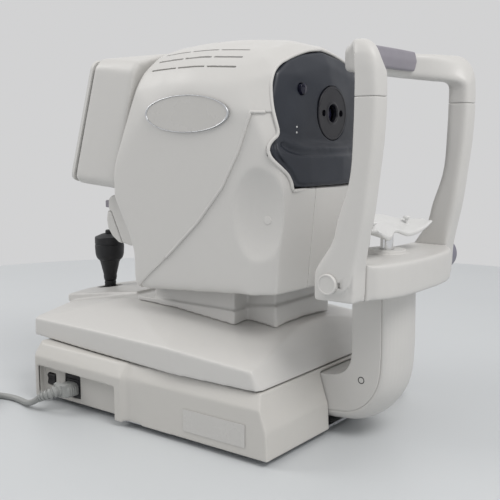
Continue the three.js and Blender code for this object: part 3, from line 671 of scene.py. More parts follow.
def make_connector():
    """Mains connector: a body with a round top, a collar, and a ribbed relief that bends down."""
    grip = prism("x", pane(-157.5, -134.5, 17.5, 33, 3, 7), 148.9, 166.5)
    shoulder = hull([
        (x, -146 + side * half, z)
        for x, half, low, high in ((166, 10.2, 18.5, 35.4), (172, 8.4, 19.2, 34.6))
        for side in (-1, 1) for z in (low, high)
    ])
    join(grip, shoulder)
    for x in (153.5, 157, 160.5, 164):
        join(grip, prism("x", pane(-158.6, -133.4, 20, 32, 2, 6), x - 0.8, x + 0.8))
    softened(grip, 0.5, 0.6)
    grip = finished(grip, "connector_body", "base", "cord", ["lead_connector"], 0.5)
    nose = bevelled(block(131, 149, -157, -135, 18, 36), 1.2)
    finished(nose, "connector_nose", "base", "black_plastic")
    line = [
        (170, -146, 27), (176, -146.6, 26.6), (181, -149.5, 25), (184, -155, 22.5), (185, -162, 19),
        (185, -168, 15.8),
    ]
    sleeve = ribbed_sleeve("strain_relief", line, 60, 7.6, -3.3, range(8, 57), 8, 1.5)
    return [grip, nose, sleeve]


def smooth_line(points, count):
    """Evenly parted (point, direction) pairs on a smooth curve through the points."""
    guide = curve_through("guide", points, 24)
    mesh = evaluated_mesh(guide)
    line = [v.co.copy() for v in mesh.vertices]
    discard(guide)
    run = [0.0]
    for a, b in zip(line, line[1:]):
        run.append(run[-1] + (b - a).length)
    pairs = []
    for i in range(count):
        want = run[-1] * i / (count - 1)
        k = min(max(j for j, r in enumerate(run) if r <= want), len(line) - 2)
        share = (want - run[k]) / max(run[k + 1] - run[k], 1e-9)
        pairs.append((line[k].lerp(line[k + 1], share), (line[k + 1] - line[k]).normalized()))
    return pairs


def ring_points(centre, forward, radius, count=28):
    turn = Vector(forward).to_track_quat("Z", "Y")
    ring = []
    for i in range(count):
        angle = 2 * math.pi * i / count
        local = Vector((radius * math.cos(angle), radius * math.sin(angle), 0))
        ring.append(tuple(Vector(centre) + turn @ local))
    return ring


def make_plug():
    """Moulded two-blade plug with a round earth pin, lying on its side beside the coil."""
    x, y = PLUG_PLACE
    line = [(x, y, 4.5), (x, y + 14, 7.2), (x, y + 28, 10.8)]
    sleeve = ribbed_sleeve("plug_relief", line, 40, 4.1, 3.6, range(5, 36), 7, 1.1)
    body = prism("y", pane(x - 13.6, x + 13.6, 1.2, 22, 6, 8), y + 27, y + 51.5)
    for offset in (30.5, 34, 37.5):
        for side in (-1, 1):
            low, high = span(side, 12.4, 15)
            cut(body, block(x + low, x + high, y + offset, y + offset + 1.6, 4, 19))
    softened(body, 0.5, 0.7)
    finished(body, "plug_body", "base", "cord", ["mains_plug"], 0.5)
    left, right = [block(x + low, x + low + 1.5, y + 51, y + 69, 10.5, 16.8) for low in (-7.1, 5.6)]
    pin = [(0, y + 51), (2.4, y + 51), (2.4, y + 70), (1.4, y + 72), (0, y + 72)]
    pins = join(left, right, lathe(pin, (x, 0, 5.5), "y", 32))
    finished(bevelled(pins, 0.25, 2), "plug_pins", "base", "steel", crease=40)
    return [sleeve, body, pins]


def make_lead():
    connector = make_connector()
    plug = make_plug()
    route = LEAD_RUN + coil_points() + LEAD_TAIL
    lead = curve_through("mains_lead_sheath", [vector_mm(*point) for point in route], 6)
    lead.data.bevel_depth = LEAD_DIAMETER / 2 * MM
    lead.data.bevel_resolution = 5
    lead.data.use_fill_caps = True
    lead.data.materials.append(MATERIALS["cord"])
    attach(lead, "base")
    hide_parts("mains_lead", "lead_coil", "lead_tail")


# ---- base and stage


def make_feet():
    profile = [
        (0, 0.4), (5, 0.4), (5.6, 0), (10.8, 0), (12.2, 1.2), (12.4, 3), (11.4, 5.6), (0, 5.6),
    ]
    for i in range(1, 5):
        low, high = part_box(f"foot_{i}")
        centre = (low + high) / 2 / MM
        foot = lathe(profile, (centre.x, centre.y, 0))
        finished(foot, f"rubber_foot_{i}", "base", "black_rubber", [f"foot_{i}"], crease=50)


SIDE_STEP_Y = -31  # where a step runs down the base's sides


def make_base():
    cover = softened(of_node("base_cover"), 1.4, 1.4)

    def off_the_step(points):
        beside = np.abs(points[:, 1] - SIDE_STEP_Y) < 14
        return 1 - (beside & (np.abs(points[:, 0]) > 130)).astype(float)

    iron(cover, 3.4, 1.4, off_the_step)
    # The base housing and the inlet recess take the darker base colour, which is painted shade.
    finished(cover, "base_housing", "base", "lower_shell", ["base_cover"], 0.35)
    cast("inlet_recess", "inlet_panel", "base", "lower_shell", 0.9, 0.8, 0.4)
    inlet = bevelled(of_node("mains_inlet"), 0.5, 2)
    finished(inlet, "inlet_socket", "base", "black_plastic", ["mains_inlet"], crease=40)
    pins = [block(132, 142, -147 + y, -145 + y, 25, 29) for y in (-6, 0, 6)]
    join(*pins)
    finished(bevelled(pins[0], 0.3, 2), "inlet_pins", "base", "steel", crease=40)
    cast("rocker_switch", "power_rocker", "rocker", "black_plastic", 0.4, 0.5, 0.5)
    plate = bevelled(of_node("rating_plate"), 0.15, 2)
    finished(plate, "blank_plate", "base", "label", ["rating_plate"], crease=40)


STICK_Y = -233  # the joystick stands on the middle line


def make_stage():
    def round_the_well(points):
        well = np.hypot(points[:, 0], points[:, 1] - STICK_Y)
        return 1 - np.clip((well - 20) / 8, 0, 1)

    cover = softened(of_node("stage_cover"), 1.3, 1.7, round_the_well)
    iron(cover, 0.8, 1.3)
    finished(cover, "stage_housing", "stage", "shell", ["stage_cover"], 0.35)
    cast("neck_housing", "neck_skirt", "stage", "shell", 1.3, 1.8, 0.3)
    well = [(15.4, 112), (17.6, 112), (17.6, 118), (16.8, 119.5), (15.4, 119.5)]
    finished(lathe(well, (0, STICK_Y, 0)), "stick_well", "stage", "black_rubber", crease=35)


def make_joystick():
    centre = (0, STICK_Y, 0)
    fillet_low = [(8.6 + 0.2 * k, 132 + k) for k in range(5)]
    grip = [(5.4, 131), (7.8, 131), (8.5, 131.7), *fillet_low, (9.4, 140), (13.6, 158)]
    swell = [
        (14.4 + 5.9 * math.sin(a), 161 + 13 * (1 - math.cos(a)))
        for a in np.linspace(0.15, math.pi / 2, 10)
    ]
    crown = [
        (20.6 - 1.9 * (1 - math.cos(a)), 192 + 2.6 * math.sin(a))
        for a in np.linspace(0, math.pi / 2, 8)
    ]
    top = [(12, 197.6), (9.5, 198.4), (7.6, 198.4), (6.6, 197.4), (6.3, 196.5), (6.3, 190), (5.4, 190)]
    groove = [(20.6, 178), (20.6, 182.6), (20.0, 183.1), (20.0, 184.1), (20.6, 184.6), (20.6, 188)]
    body = lathe([*grip, *swell, *groove, *crown, *top], centre, "z", 96)
    finished(body, "stick_grip", "grip", "black_rubber", ["joystick_grip"], crease=32)
    stem = [(0, 88), (8.6, 88), (9, 89), (9, 103), (7.7, 106)]
    bellows = [(7.7 + (0.7 if k % 2 else 0), 108 + 2.2 * k) for k in range(10)]
    stem = lathe(stem + bellows + [(7.7, 130.6), (5, 130.6), (5, 188), (0, 188)], centre)
    finished(stem, "stick_stem", "joystick", "black_rubber", ["joystick_stem"], crease=50)
    cap = [(0, 192), (5.6, 192), (5.6, 202.2), (5.2, 203.2), (4.2, 203.8), (0, 203.4)]
    button = lathe(cap, centre)
    finished(button, "trigger_cap", "trigger", "black_rubber", ["joystick_button"], crease=50)


# ---- measuring head


def arch(y, crown, wide):
    """Points across the right half of the roof."""
    steps = ((0, 0), (40, 5), (75, 17), (98 + wide, 35), (110 + wide, 54))
    return [(x, y, crown - drop) for x, drop in steps]


HEAD_POINTS = [
    *arch(-64, 446, 1), *arch(-20, 450, 2), *arch(22, 451, 3), *arch(77, 447, 0),
    (0, 120, 434), (40, 120, 427), (65, 120, 420), (83, 120, 412), (94, 120, 402), (98, 120, 385),
    (98, 121, 341), (102, 108, 397), (86, 107, 419), (62, 104, 432), (36, 98, 440.5),
    (118, -40, 365), (118, 60, 365), (115, 108, 361), (113, 100, 300),
    (103, 141, 282), (47, 148, 282), (0, 149, 282), (102, 132, 166), (47, 137, 166), (0, 138, 166),
    (110, 100, 163), (110, -60, 152), (109, -77, 157), (0, -77, 152), (113, -107, 265), (0, -107, 265),
    (115, -104, 296),
]
NOSE_REGION = [
    (170, 120), (170, 361), (107, 361), (90, 319, 20), (68, 281, 30), (31, 240, 40), (-19, 196, 50),
    (-66, 158, 30), (-84, 120),
]
PANEL_EDGE = [
    (0, 431.5), (22, 429), (44, 423.8), (65, 417), (80, 410.5), (89, 403), (94, 393), (96.2, 379),
    (97, 363), (96.2, 350), (95.5, 342), (97, 336.5), (102, 332), (106, 325), (105.5, 315),
    (99, 305), (91, 297), (87, 289), (86, 281),
]
PANEL_OUTLINE = close_half([tuple(ring[0]) for ring in eased([[corner] for corner in PANEL_EDGE], 2)])
FORM_VOXEL = 2.6
SCOOP_VOXEL = FORM_VOXEL * 0.7
SHELL_WALL = 3
PANEL_GAP = 0.4  # between the panel and the covers round it
NOSE_HALF = 47  # half the width of the middle nose piece
SCREW_CAP = (117, 247.6)  # y and z of the caps on the cheeks


def outline_grown(corners, amount):
    """An outline pushed out by an amount, by its corners' own normals."""
    turned = sum(a[0] * b[1] - b[0] * a[1] for a, b in zip(corners, corners[1:] + corners[:1]))
    amount = math.copysign(1, turned) * amount
    grown_corners = []
    for i, corner in enumerate(corners):
        before, after = Vector(corners[i - 1][:2]), Vector(corners[(i + 1) % len(corners)][:2])
        along = (after - before).normalized()
        normal = Vector((along.y, -along.x))
        grown_corners.append((corner[0] + normal.x * amount, corner[1] + normal.y * amount, *corner[2:]))
    return grown_corners


def head_form(scooped):
    """The head's outer skin as a solid, with or without the hollows in its cheeks."""
    body = hull(both_sides(HEAD_POINTS))
    back = [
        (-130, 120), (-77, 120), (-77, 157), (-76, 198, 20), (-82, 218, 20), (-95, 242, 20), (-107, 265),
        (-130, 265),
    ]
    cut(body, prism("x", back, -140, 140))
    softened(body, FORM_VOXEL, 7, lambda points: np.clip((points[:, 1] - 88) / 16, 0, 0.9))
    if scooped:
        for side in (-1, 1):
            cut(body, ellipsoid((side * 135, 126, 250), (36, 56, 74)))
        softened(body, SCOOP_VOXEL, 2.2)
    return modified(body, "SUBSURF", levels=1)


def ellipsoid(centre, radii):
    bm = bmesh.new()
    bmesh.ops.create_icosphere(bm, subdivisions=5, radius=1)
    mesh = as_mesh("ellipsoid", bm)
    place = Matrix.Translation(vector_mm(*centre)) @ Matrix.Diagonal((*(r * MM for r in radii), 1))
    mesh.transform(place)
    return as_object("ellipsoid", mesh)


def hollowed(body):
    """Takes the inside out of a form and opens its underside."""
    inner = grown(duplicate(body), -SHELL_WALL)
    plan = [(0, 128), (90, 123), (101, 94), (102, -54), (99, -67), (0, -67)]
    underside = hull(both_sides([(x, y, z) for x, y in plan for z in (140, 184)]))
    join(inner, underside)
    return cut(body, inner)


def vent_slots():
    """Three rows of three cooling slots on a shoulder of the roof, square to its surface."""
    slots = []
    for x, z, slope in ((75, 431, 32), (88, 422, 40), (100, 411, 50)):
        for y in (-28, 14, 56):
            slot = prism("z", pane(-1, 1, y - 19.5, y + 19.5, 0.9, 0.9), -12, 12, 4)
            turn = Matrix.Rotation(math.radians(slope), 4, "Y")
            slot.data.transform(Matrix.Translation(vector_mm(x, 0, z)) @ turn)
            slots.append(slot)
    return slots


def make_panel_bezel(form):
    """The rounded edge of the covers that shows as a bright line round the panel."""
    line = [touch(form, (x, 220, z), (0, -1, 0))[0] for x, z in outline_grown(PANEL_OUTLINE, 1.5)]
    count = len(line)
    rings = []
    for i, place in enumerate(line):
        near = [line[(i + k) % count].y for k in range(-3, 4)]
        centre = (place.x, sum(near) / len(near) - 0.8, place.z)
        rings.append(ring_points(centre, line[(i + 1) % count] - line[i - 1], 1.9, 16))
    finished(loft(rings, closed=True), "panel_bezel", "head", "shell")


def make_seam_lips(form):
    """The rounded edge that the main cover ends in above the recessed cheeks."""
    corners = [Vector((119, 362))]
    edge = outline_grown(rounded(NOSE_REGION), 1.0)[2:]
    corners += [Vector(corner) for corner in edge if corner[1] > 166]
    seam = []
    for here, after in zip(corners, corners[1:]):
        steps = math.ceil((after - here).length / 4)
        seam += [here.lerp(after, k / steps) for k in range(steps)]
    for name, side in SIDES:
        line = []
        for y, z in seam:
            place, normal = touch(form, (side * 200, y, z), (-side, 0, 0))
            line.append(place - normal * 1.0)
        rings = [ring_points(*step, 1.7, 20) for step in smooth_line(line, 150)]
        finished(loft(rings), f"seam_lip_{name}", "head", "shell")


def make_head():
    cover = head_form(False)
    nose = grown(head_form(True), -1.9)
    make_panel_bezel(cover)
    make_seam_lips(cover)
    cover = hollowed(cover)
    opening = outline_grown(PANEL_OUTLINE, PANEL_GAP)
    cut(cover, prism("x", NOSE_REGION, -150, 150), prism("y", opening, 108, 190))
    join(cover, make_printer_housing())
    softened(cover, 1.1, 0.9)
    for slot in vent_slots():
        cut(cover, slot, mirror(duplicate(slot)))
    finished(cover, "head_housing", "head", "shell", ["head_cover"], 0.3)

    nose = hollowed(nose)
    keep_within(nose, prism("x", outline_grown(NOSE_REGION, 2.5), -150, 150))
    cut(nose, prism("y", opening, 108, 190))
    cheeks = duplicate(nose)
    middle = NOSE_HALF - 0.2
    keep_within(nose, block(-middle, middle, 0, 200, 100, 400))
    softened(nose, 0.9, 0.6)
    finished(nose, "nose_housing", "head", "shell", ["nose_cover_center"], 0.3)
    cap_profile = [(0, -4), (4.4, -4), (4.6, 0.2), (4.1, 0.7), (0, 0.9)]
    for name, side in SIDES:
        half = block(*span(side, NOSE_HALF + 0.1, 160), -150, 200, 100, 400)
        cheek = keep_within(duplicate(cheeks), half)
        softened(cheek, 0.9, 0.6)
        place, normal = touch(cheek, (side * 200, *SCREW_CAP), (-side, 0, 0))
        cap = set_on(lathe(cap_profile, segments=40), place, normal)
        finished(cheek, f"nose_cheek_{name}", "head", "shell", [f"nose_cover_{name}"], 0.3)
        finished(cap, f"screw_cap_{name}", "head", "shell", crease=40)
    discard(cheeks)


def make_printer_housing():
    profile = [
        (-86, 262), (-160, 260, 6), (-167, 254, 4), (-167, 241, 1), (-161, 238), (-142, 199),
        (-128, 196), (-86, 205),
    ]
    paper_bay = block(-42, 42, -175, -112, 203, 240)
    key_bay = block(-61, 61, -168, -164, 242.4, 253.6)
    return cut(prism("x", profile, -62, 62), paper_bay, key_bay)


LEDGE_LINE = [(89, 330.5), (84, 325), (75, 321.3), (60, 319.8), (40, 319.5), (0, 319.5)]
LIP_LINE = [
    (98, 330), (99.5, 322), (97, 313.5), (90.5, 305), (84.5, 297), (81, 290), (77, 286.2), (60, 285),
    (0, 285),
]
WINDOW = (0, 0, 362)
SENSOR = (55, 0, 387)


def groove(panel, half, radius, depth):
    """A round bar laid into the panel's face along a line given by its right half, to be cut out."""
    line = []
    for x, z in [*half[:-1], *[(-x, z) for x, z in half[::-1]]]:
        place, _ = touch(panel, (x, 190, z), (0, -1, 0))
        line.append(place + Vector((0, radius - depth, 0)))
    return loft([ring_points(*step, radius, 20) for step in smooth_line(line, 120)])


def panel_back(points):
    return (points[:, 1] < 114).astype(float)


def make_panel():
    upper = hull(both_sides([
        *[(x, y, z) for y in (110, 121) for x, z in
          ((0, 431), (40, 425), (65, 418), (88, 403), (97, 378), (97, 348), (94, 330), (0, 316))],
        (0, 131, 415), (60, 129, 402), (82, 127, 380), (82, 128, 345), (60, 134, 345), (0, 137, 385),
        (0, 138, 335), (60, 133, 328), (0, 136, 320),
    ]))
    lower = hull(both_sides([
        *[(x, y, z) for y in (110, 122) for x, z in
          ((94, 341), (103, 333), (105, 322), (102, 309), (92, 299), (86, 281), (0, 281), (0, 325))],
        (101, 128, 322), (96, 133, 316), (86, 139, 300), (82, 141, 283), (60, 145, 320), (0, 151, 320),
        (0, 152, 283), (60, 148, 283),
    ]))
    panel = join(upper, lower)
    softened(panel, 1.4, 1.6, panel_back)
    cut(panel, groove(panel, LEDGE_LINE, 4.5, 4.2))
    softened(panel, 1.2, 1.8, panel_back)
    cut(panel, groove(panel, LIP_LINE, 2.4, 1.4))
    keep_within(panel, prism("y", PANEL_OUTLINE, 112, 170))
    cut(
        panel,
        rod(30.4, 130.8, 170, WINDOW, "y", 96),
        rod(22, 100, 140, WINDOW, "y", 96),
        rod(6.2, 100, 150, SENSOR, "y", 48),
    )
    softened(panel, 0.9, 0.7)
    lamps = []
    lamp = [(0, -1), (1.1, -1), (1.1, 0.2), (0.7, 0.5), (0, 0.6)]
    for z in (340.5, 346.5):
        place, _ = touch(panel, (66, 190, z), (0, -1, 0))
        lamps.append(lathe(lamp, place, "y", 24))
    finished(join(*lamps), "status_lamps", "head", "cup", crease=40)
    finished(panel, "face_panel", "head", "dark_panel", ["front_panel"], 0.35)


def make_window():
    bevel = [(29.9, 132), (29.9, 136.0), (29.5, 136.6), (28.6, 136.8), (27.6, 136.7), (27.2, 136.3)]
    dish = [(14, 136.0), (12.4, 136.4), (11.4, 136.7), (10.4, 136.5), (9.7, 135.4), (9.5, 131.2)]
    disc = lathe([*bevel, *dish, (29.9, 131.2)], WINDOW, "y", 120)
    port = [(0, 131.8), (3.4, 131.8), (4.2, 140), (0, 140)]
    for x in (-18.2, 18.2):
        cut(disc, lathe(port, (x, *WINDOW[1:]), "y", 40))
    finished(disc, "window_bezel", "head", "window_disc", ["window_ring"], crease=28)
    turns = np.linspace(math.pi / 2, 0, 12)
    bulge = [(9.0 * math.sin(a), 129.4 + 1.8 * math.cos(a)) for a in turns[:-1]]
    lens = lathe([(0, 128), (9.0, 128), *bulge, (0, 131.2)], WINDOW, "y", 96)
    finished(lens, "window_glass", "head", "glass", ["window_lens"], crease=50)
    eye = lathe([(0, 126), (5.8, 126), (5.8, 133.2), (5.2, 133.8), (0, 134.3)], SENSOR, "y", 64)
    finished(eye, "sensor_glass", "head", "glass", ["sensor_window"], crease=50)


def make_nameplates():
    face = [(0, 117.6), (0.97, 117.6), (0.97, 118.9), (0.955, 119.2), (0, 119.2)]
    rim = [
        (0.96, 117.6), (1.0, 117.6), (1.0, 119.3), (0.992, 119.8), (0.978, 120.0), (0.966, 119.8),
        (0.96, 119.3),
    ]
    size = Matrix.Diagonal((1, 61, 20.5, 1))
    for name, side in SIDES:
        for profile, piece, slot in ((face, "oval_plate", "label"), (rim, "oval_rim", "aluminium")):
            oval = lathe(profile, axis="x", segments=128)
            oval.data.transform(Matrix.Translation(vector_mm(0, 20, 361)) @ size)
            if side < 0:
                mirror(oval)
            nodes = [f"nameplate_{name}"] if piece == "oval_plate" else ()
            finished(oval, f"{piece}_{name}", "head", slot, nodes, crease=30)


# ---- monitor and printer


MONITOR_FOOT = (0, -190, 280)
MONITOR_LEAN = -17.5
SCREEN_HALF = 90


def leaned(obj):
    """Moves a piece made upright at the origin to the monitor's place."""
    turn = Euler((math.radians(MONITOR_LEAN), 0, 0)).to_matrix().to_4x4()
    obj.data.transform(Matrix.Translation(vector_mm(*MONITOR_FOOT)) @ turn)
    return obj


def monitor_back(z):
    """Y of the monitor's back, 1.2 mm off the head's sloping rear."""
    return -64 - (446 - z) * 0.266 - 1.2


def make_monitor():
    front = [
        (0, -184.5, 276), (96, -184.5, 277), (105, -182, 285), (105, -140, 420), (96, -138, 430),
        (0, -136.5, 435),
    ]
    rear = [(0, 271), (94, 271), (103, 280), (103, 412), (96, 424), (50, 436), (0, 441)]
    body = hull(both_sides([*front, *[(x, monitor_back(z), z) for x, z in rear]]))
    softened(body, 2, 3.6)
    before_frame = leaned(block(-120, 120, -14, 4.4, -20, 190))
    cut(body, before_frame, leaned(block(-94, 94, 0, 40, 12, 144)))
    softened(body, 1.1, 0.6)
    finished(body, "monitor_housing", "monitor", "shell", ["monitor_rear"], 0.3)
    bezel = prism("y", pane(-104.8, 104.8, 0.2, 155.8, 13, 13), 0, 4)
    cut(bezel, prism("y", pane(-SCREEN_HALF, SCREEN_HALF, 16, 140, 3, 3), -2, 6))
    leaned(bevelled(bezel, 0.8, 4, 40))
    finished(bezel, "monitor_frame", "monitor", "shell", ["monitor_bezel"], crease=40)
    half = SCREEN_HALF - 0.4
    glass = prism("y", pane(-half, half, 16.4, 139.6, 3, 3), 0.9, 4)
    leaned(bevelled(glass, 0.4, 2, 40))
    finished(glass, "monitor_glass", "monitor", "screen", ["monitor_screen"], crease=40)


def make_printer():
    lid = prism("x", [
        (-161.9, 237.1), (-168.5, 239.9), (-171, 228, 8), (-169, 217, 10), (-161, 206.5, 8),
        (-149, 198.8, 4), (-142.9, 198.2),
    ], -61.8, 61.8)
    softened(lid, 0.8, 0.9)
    finished(lid, "paper_lid", "printer_lid", "shell", ["printer_cover"], 0.35)
    key_outline = [(-175, 243.1, 2), (-166, 243.1), (-166, 252.9), (-175, 252.9, 2)]
    key = prism("x", key_outline, -59.8, 59.8)
    softened(key, 0.6, 0.8)
    finished(key, "print_bar", "print_key", "pad", ["printer_button"], 0.35)
    edge = [(6, -29), (15.4, -29), (16, -28.4), (16, 28.4), (15.4, 29), (6, 29)]
    roll = lathe(edge, (0, -134, 221.5), "x", 96)
    finished(roll, "receipt_roll", "roll", "paper", ["paper_roll"], crease=40)


# ---- pillar, arms and rests


# The pillar swept round its elbow: each row is an inner edge point and the outer edge point of the
# flat side across from it, both as (y, z).
PILLAR_PATH = [
    [(186, 173.6), (221.5, 173.6)], [(186, 135), (222, 135)], [(186, 98), (222, 98)],
    [(185, 91), (221, 80)], [(182.5, 84), (218, 66)], [(178, 78), (211.5, 53.5)],
    [(171, 73.5), (201.5, 42)], [(162, 71), (187, 33.5)], [(152, 70), (166, 30)],
    [(132, 70), (138, 29)], [(112, 70), (112, 29)],
]
PILLAR_HALF = 35
CHIN_POST = (0, 208, 0)
KNOB_AXIS = (0, 212, 194)


def pillar_rows(back, out):
    """The path's inner edge moved back and its outer edge moved out, as (y, z) arrays."""
    rows = np.array(eased(PILLAR_PATH, 4))
    along = np.gradient(rows[:, 1], axis=0)
    along /= np.linalg.norm(along, axis=1)[:, None]
    outward = np.stack([-along[:, 1], along[:, 0]], axis=1)
    return rows[:, 0] - outward * back, rows[:, 1] + outward * out


def pillar_skin(back, out, low, high):
    inner, outer = pillar_rows(back, out)
    return prism("x", [*map(tuple, inner), *map(tuple, outer[::-1])], low, high)


def make_pillar():
    inner, _ = pillar_rows(0, 0)
    turns = np.linspace(0, math.pi, 17)
    crown = [(PILLAR_HALF * math.cos(a), pillar_rows(0, 15.5 * math.sin(a))[1]) for a in turns]
    rings = []
    for i, (y, z) in enumerate(inner):
        round_side = [(x, *edge[i]) for x, edge in crown]
        rings.append([(PILLAR_HALF, y, z), *round_side, (-PILLAR_HALF, y, z)])
    shell = loft(rings)
    for side in (-1, 1):
        pocket = pillar_skin(6, 0.4, *span(side, 33, 40))
        cut(shell, keep_within(pocket, block(-60, 60, 112.6, 260, 0, 300)))
    cut(shell, rod(8, 100, 200, CHIN_POST, "z", 64))
    softened(shell, 1.0, 1.0)
    finished(shell, "pillar_housing", "base", "shell", ["pillar_shell"], 0.3)
    for name, side in SIDES:
        panel = pillar_skin(0, 0, *span(side, 33.2, PILLAR_HALF))
        keep_within(panel, block(-60, 60, 113, 260, 0, 172.6))
        softened(panel, 0.6, 0.5)
        finished(panel, f"pillar_panel_{name}", "base", "shell", [f"pillar_side_{name}"], 0.25)
    mark = lathe([(3.0, 34.9), (4.0, 34.9), (4.0, 35.15), (3.0, 35.15)], (0, 199, 71), "x", 48)
    finished(mark, "pillar_mark", "base", "black_plastic", crease=40)


def member_ring(inner, outer, y0, y1, crown=6.5, seat=6.5, radius=6.5):
    """Rounded section across a member, from an inner to an outer (x, z) point, y0 to y1 deep."""
    wide = math.hypot(outer[0] - inner[0], outer[1] - inner[1])
    ring = []
    corners = ((wide, y0, -90, radius), (wide, y1, 0, crown), (0, y1, 90, seat), (0, y0, 180, radius))
    for corner_d, corner_y, start, turn in corners:
        centre_d = corner_d + (turn if corner_d == 0 else -turn)
        centre_y = corner_y + (turn if corner_y == y0 else -turn)
        for k in range(7):
            angle = math.radians(start + 15 * k)
            share = (centre_d + turn * math.cos(angle)) / wide
            x = inner[0] + (outer[0] - inner[0]) * share
            z = inner[1] + (outer[1] - inner[1]) * share
            ring.append((x, centre_y + turn * math.sin(angle), z))
    return ring


# Arm sections from the foot up: y from and to, height, and the radius of the corner at the crossbar.
ARM_STATIONS = [
    (189, 235, 174, 0.8), (189, 235.5, 190, 0.8), (190, 236, 204, 0.8), (198, 238, 217, 3),
    (208, 241, 232, 6.5), (214.5, 246, 256, 6.5), (226.5, 251, 294, 6.5), (230, 256, 340, 6.5),
    (230.5, 257, 376, 6.5),
]
# Bow sections from the arm to the middle: inner and outer (x, z), y from and to, and the radius of
# the outer corner on the patient's side where it differs from the others.
BOW_STATIONS = [
    ((94.4, 391), (121, 392), 230.5, 256.5), ((93.4, 394), (120.5, 414), 229, 255.5, 12),
    ((90.4, 396.5), (115, 425.5), 225, 251, 14), ((84, 398), (95, 428), 212, 240, 11),
    ((70, 400), (72, 428.5), 196, 222), ((55, 401.5), (55, 429), 184, 207),
    ((36, 402), (36, 429.5), 181, 203), ((0, 402.5), (0, 430), 180, 201.5),
]
SEAM_HEIGHT = 373.9  # between the arms and the bow
# Edge of the lower plate of an arm's foot, which the arm's round tip stands proud of, as (y, z).
FOOT_STEP = [
    (255, 236), (240, 226), (236.5, 214), (233, 202), (229.5, 190.5, 4), (224, 184, 4),
    (214, 183.5), (206, 180), (200, 170), (255, 170),
]


def foot_kept(points):
    """Keeps all but the outer side of an arm's foot."""
    return np.maximum(np.clip((points[:, 2] - 184) / 4, 0, 1), np.abs(points[:, 0]) < 99)


def make_arms():
    half = [
        member_ring((94.5, z), (121, z), y0, y1, seat=seat) for y0, y1, z, seat in ARM_STATIONS
    ]
    half += [member_ring(*station) for station in BOW_STATIONS]
    hoop = loft(eased(half + [opposite(ring) for ring in half[-2::-1]], 5))
    softened(hoop, 1.6, 2.4, lambda points: np.clip((214 - points[:, 2]) / 10, 0, 1))
    bow = keep_within(duplicate(hoop), block(-150, 150, 150, 300, SEAM_HEIGHT + 0.1, 460))
    for name, side in SIDES:
        below_seam = block(*span(side, 60, 150), 150, 300, 174.2, SEAM_HEIGHT - 0.2)
        arm = keep_within(duplicate(hoop), below_seam)
        cut(arm, prism("x", FOOT_STEP, *span(side, 118.4, 130)))
        if side < 0:
            cut(arm, rod(4.6, -130, -80, KNOB_AXIS, "x", 40))
        softened(arm, 0.8, 0.5)
        iron(arm, 2.2, 0.8, foot_kept)
        if side > 0:
            cut(arm, block(114, 130, 218, 221, 188.8, 194.6))
        finished(arm, f"arm_{name}_cover", "base", "shell", [f"arm_{name}"], 0.3)
    discard(hoop)
    softened(bow, 0.8, 0.5)
    for z in (409, 413.5, 418):
        for x in (119.4, -119.4):
            cut(bow, ellipsoid((x, 230.8, z), (1.5, 1.5, 1.2)))
    finished(bow, "brow_bow_cover", "base", "shell", ["brow_bow"], 0.3)
    rim = [
        (0, 121.3), (10.6, 121.3), (10.6, 123.4), (9.9, 124.4), (8.8, 124.4), (8.4, 123.9), (0, 123.7),
    ]
    hub = lathe(rim, (0, 207.5, 192), "x", 80)
    finished(hub, "hub_cover", "base", "shell", ["hub_cap_right"], crease=30)


def make_crossbar():
    def ends_and_collar(points):
        away = np.hypot(points[:, 0], points[:, 1] - CHIN_POST[1])
        collar = 1 - np.clip((away - 23) / 4, 0, 1)
        return np.maximum(collar, np.clip((np.abs(points[:, 0]) - 90) / 3, 0, 1))

    bar = softened(of_node("crossbar"), 1.2, 3.4, ends_and_collar)
    iron(bar, 0.7, 1.2)
    finished(bar, "crossbar_cover", "base", "shell", ["crossbar"], 0.3)


def make_forehead_pad():
    pad = grown(softened(of_node("forehead_pad"), 0.8, 1.4), 0.5)
    finished(pad, "brow_cushion", "base", "pad", ["forehead_pad"], 0.5)


# Sections of the chin tray: x, y of its back and front edges, heights of its rim and lip, thickness.
CUP_SECTIONS = [
    (0, 188, 220, 252, 237, 5), (22, 190, 225, 250, 232, 6), (45, 200, 231, 244.5, 236, 5),
    (64, 218, 233, 244, 242, 3),
]


def cup_ring(x, back, front, rim, lip, thick):
    middle = (back + front) / 2
    sag = (rim + lip) / 2 - 1.5
    profile = [
        (back, rim), (middle, sag), (front - 2, lip + 0.3), (front, lip - 0.8), (front - 1, lip - thick),
        (middle, sag - thick - 0.5), (back + 2, rim - thick - 2),
    ]
    return [(x, y, z) for y, z in profile]


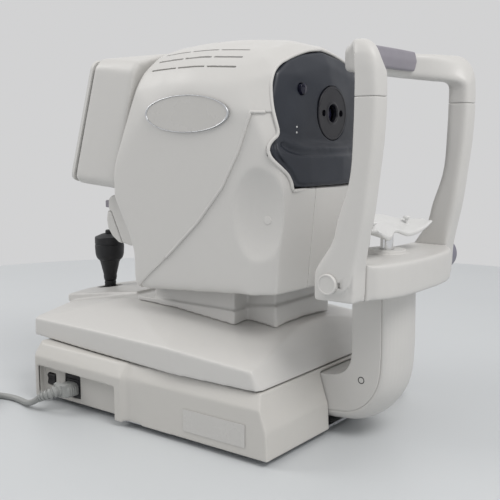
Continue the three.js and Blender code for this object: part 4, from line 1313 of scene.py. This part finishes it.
def make_chin_rest():
    half = [cup_ring(*section) for section in CUP_SECTIONS]
    cup = loft(eased([opposite(ring) for ring in half[:0:-1]] + half, 3))
    softened(cup, 0.9, 1.2)
    pin = [(0, -3), (1.8, -3), (1.8, 4.5), (3.9, 6.2), (4.1, 7.4), (3.2, 8.4), (0, 8.7)]
    for name, side in SIDES:
        place, _ = touch(cup, (side * 39, 212, 300), (0, 0, -1))
        placed = lathe(pin, place, "z", 40)
        finished(placed, f"paper_pin_{name}", "chin_rest", "cup", crease=40)
    finished(cup, "chin_tray", "chin_rest", "cup", ["chin_cup"], 0.4)
    post = lathe([(0, 112), (6.6, 112), (7, 112.6), (7, 232), (0, 232)], CHIN_POST)
    finished(post, "chin_stem", "chin_rest", "chrome", ["chin_post"], crease=40)
    knurled = lathe([
        (0, -141), (16.5, -141), (18.6, -140), (19.4, -138.4), (20, -124.6), (19.4, -123.2),
        (18, -122.5), (4, -122.5), (4, -10), (0, -10),
    ], KNOB_AXIS, "x", 120)
    finished(knurled, "height_knob", "knob", "knob", ["chin_knob"], crease=40)


# ---- inner works


def finish_inner_nodes():
    nodes_of_slot = {
        "steel": ("base_plate", "rack_right", "rack_left", "cross_axle", "lead_screw", "gimbal_ring"),
        "aluminium": ("power_supply", "axle_carrier", "stage_plate", "lift_column", "head_chassis"),
        "black_plastic": ("optical_barrel",),
    }
    for slot, nodes in nodes_of_slot.items():
        for node in nodes:
            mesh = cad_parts[node].data
            mesh.materials.clear()
            mesh.materials.append(MATERIALS[slot])


# ---- stage set


def make_floor():
    finish = Finish("pale_table", (0.60, 0.62, 0.632), 0.42)
    finish.tint(finish.noise(3, 5), 0.4, (0.56, 0.58, 0.595))
    finish.relief(finish.noise(900, 2), 0.00002, 0.5)
    floor = lathe([(0, -6), (1240, -6), (1250, -3), (1246, 0), (0, 0)], segments=180)
    floor.name = "table_top"
    floor.data.materials.append(finish.material)


make_camera()
make_lead()
make_lights()
make_floor()
make_feet()
make_base()
make_stage()
make_joystick()
make_head()
make_panel()
make_window()
make_nameplates()
make_monitor()
make_printer()
make_pillar()
make_arms()
make_crossbar()
make_forehead_pad()
make_chin_rest()
finish_inner_nodes()
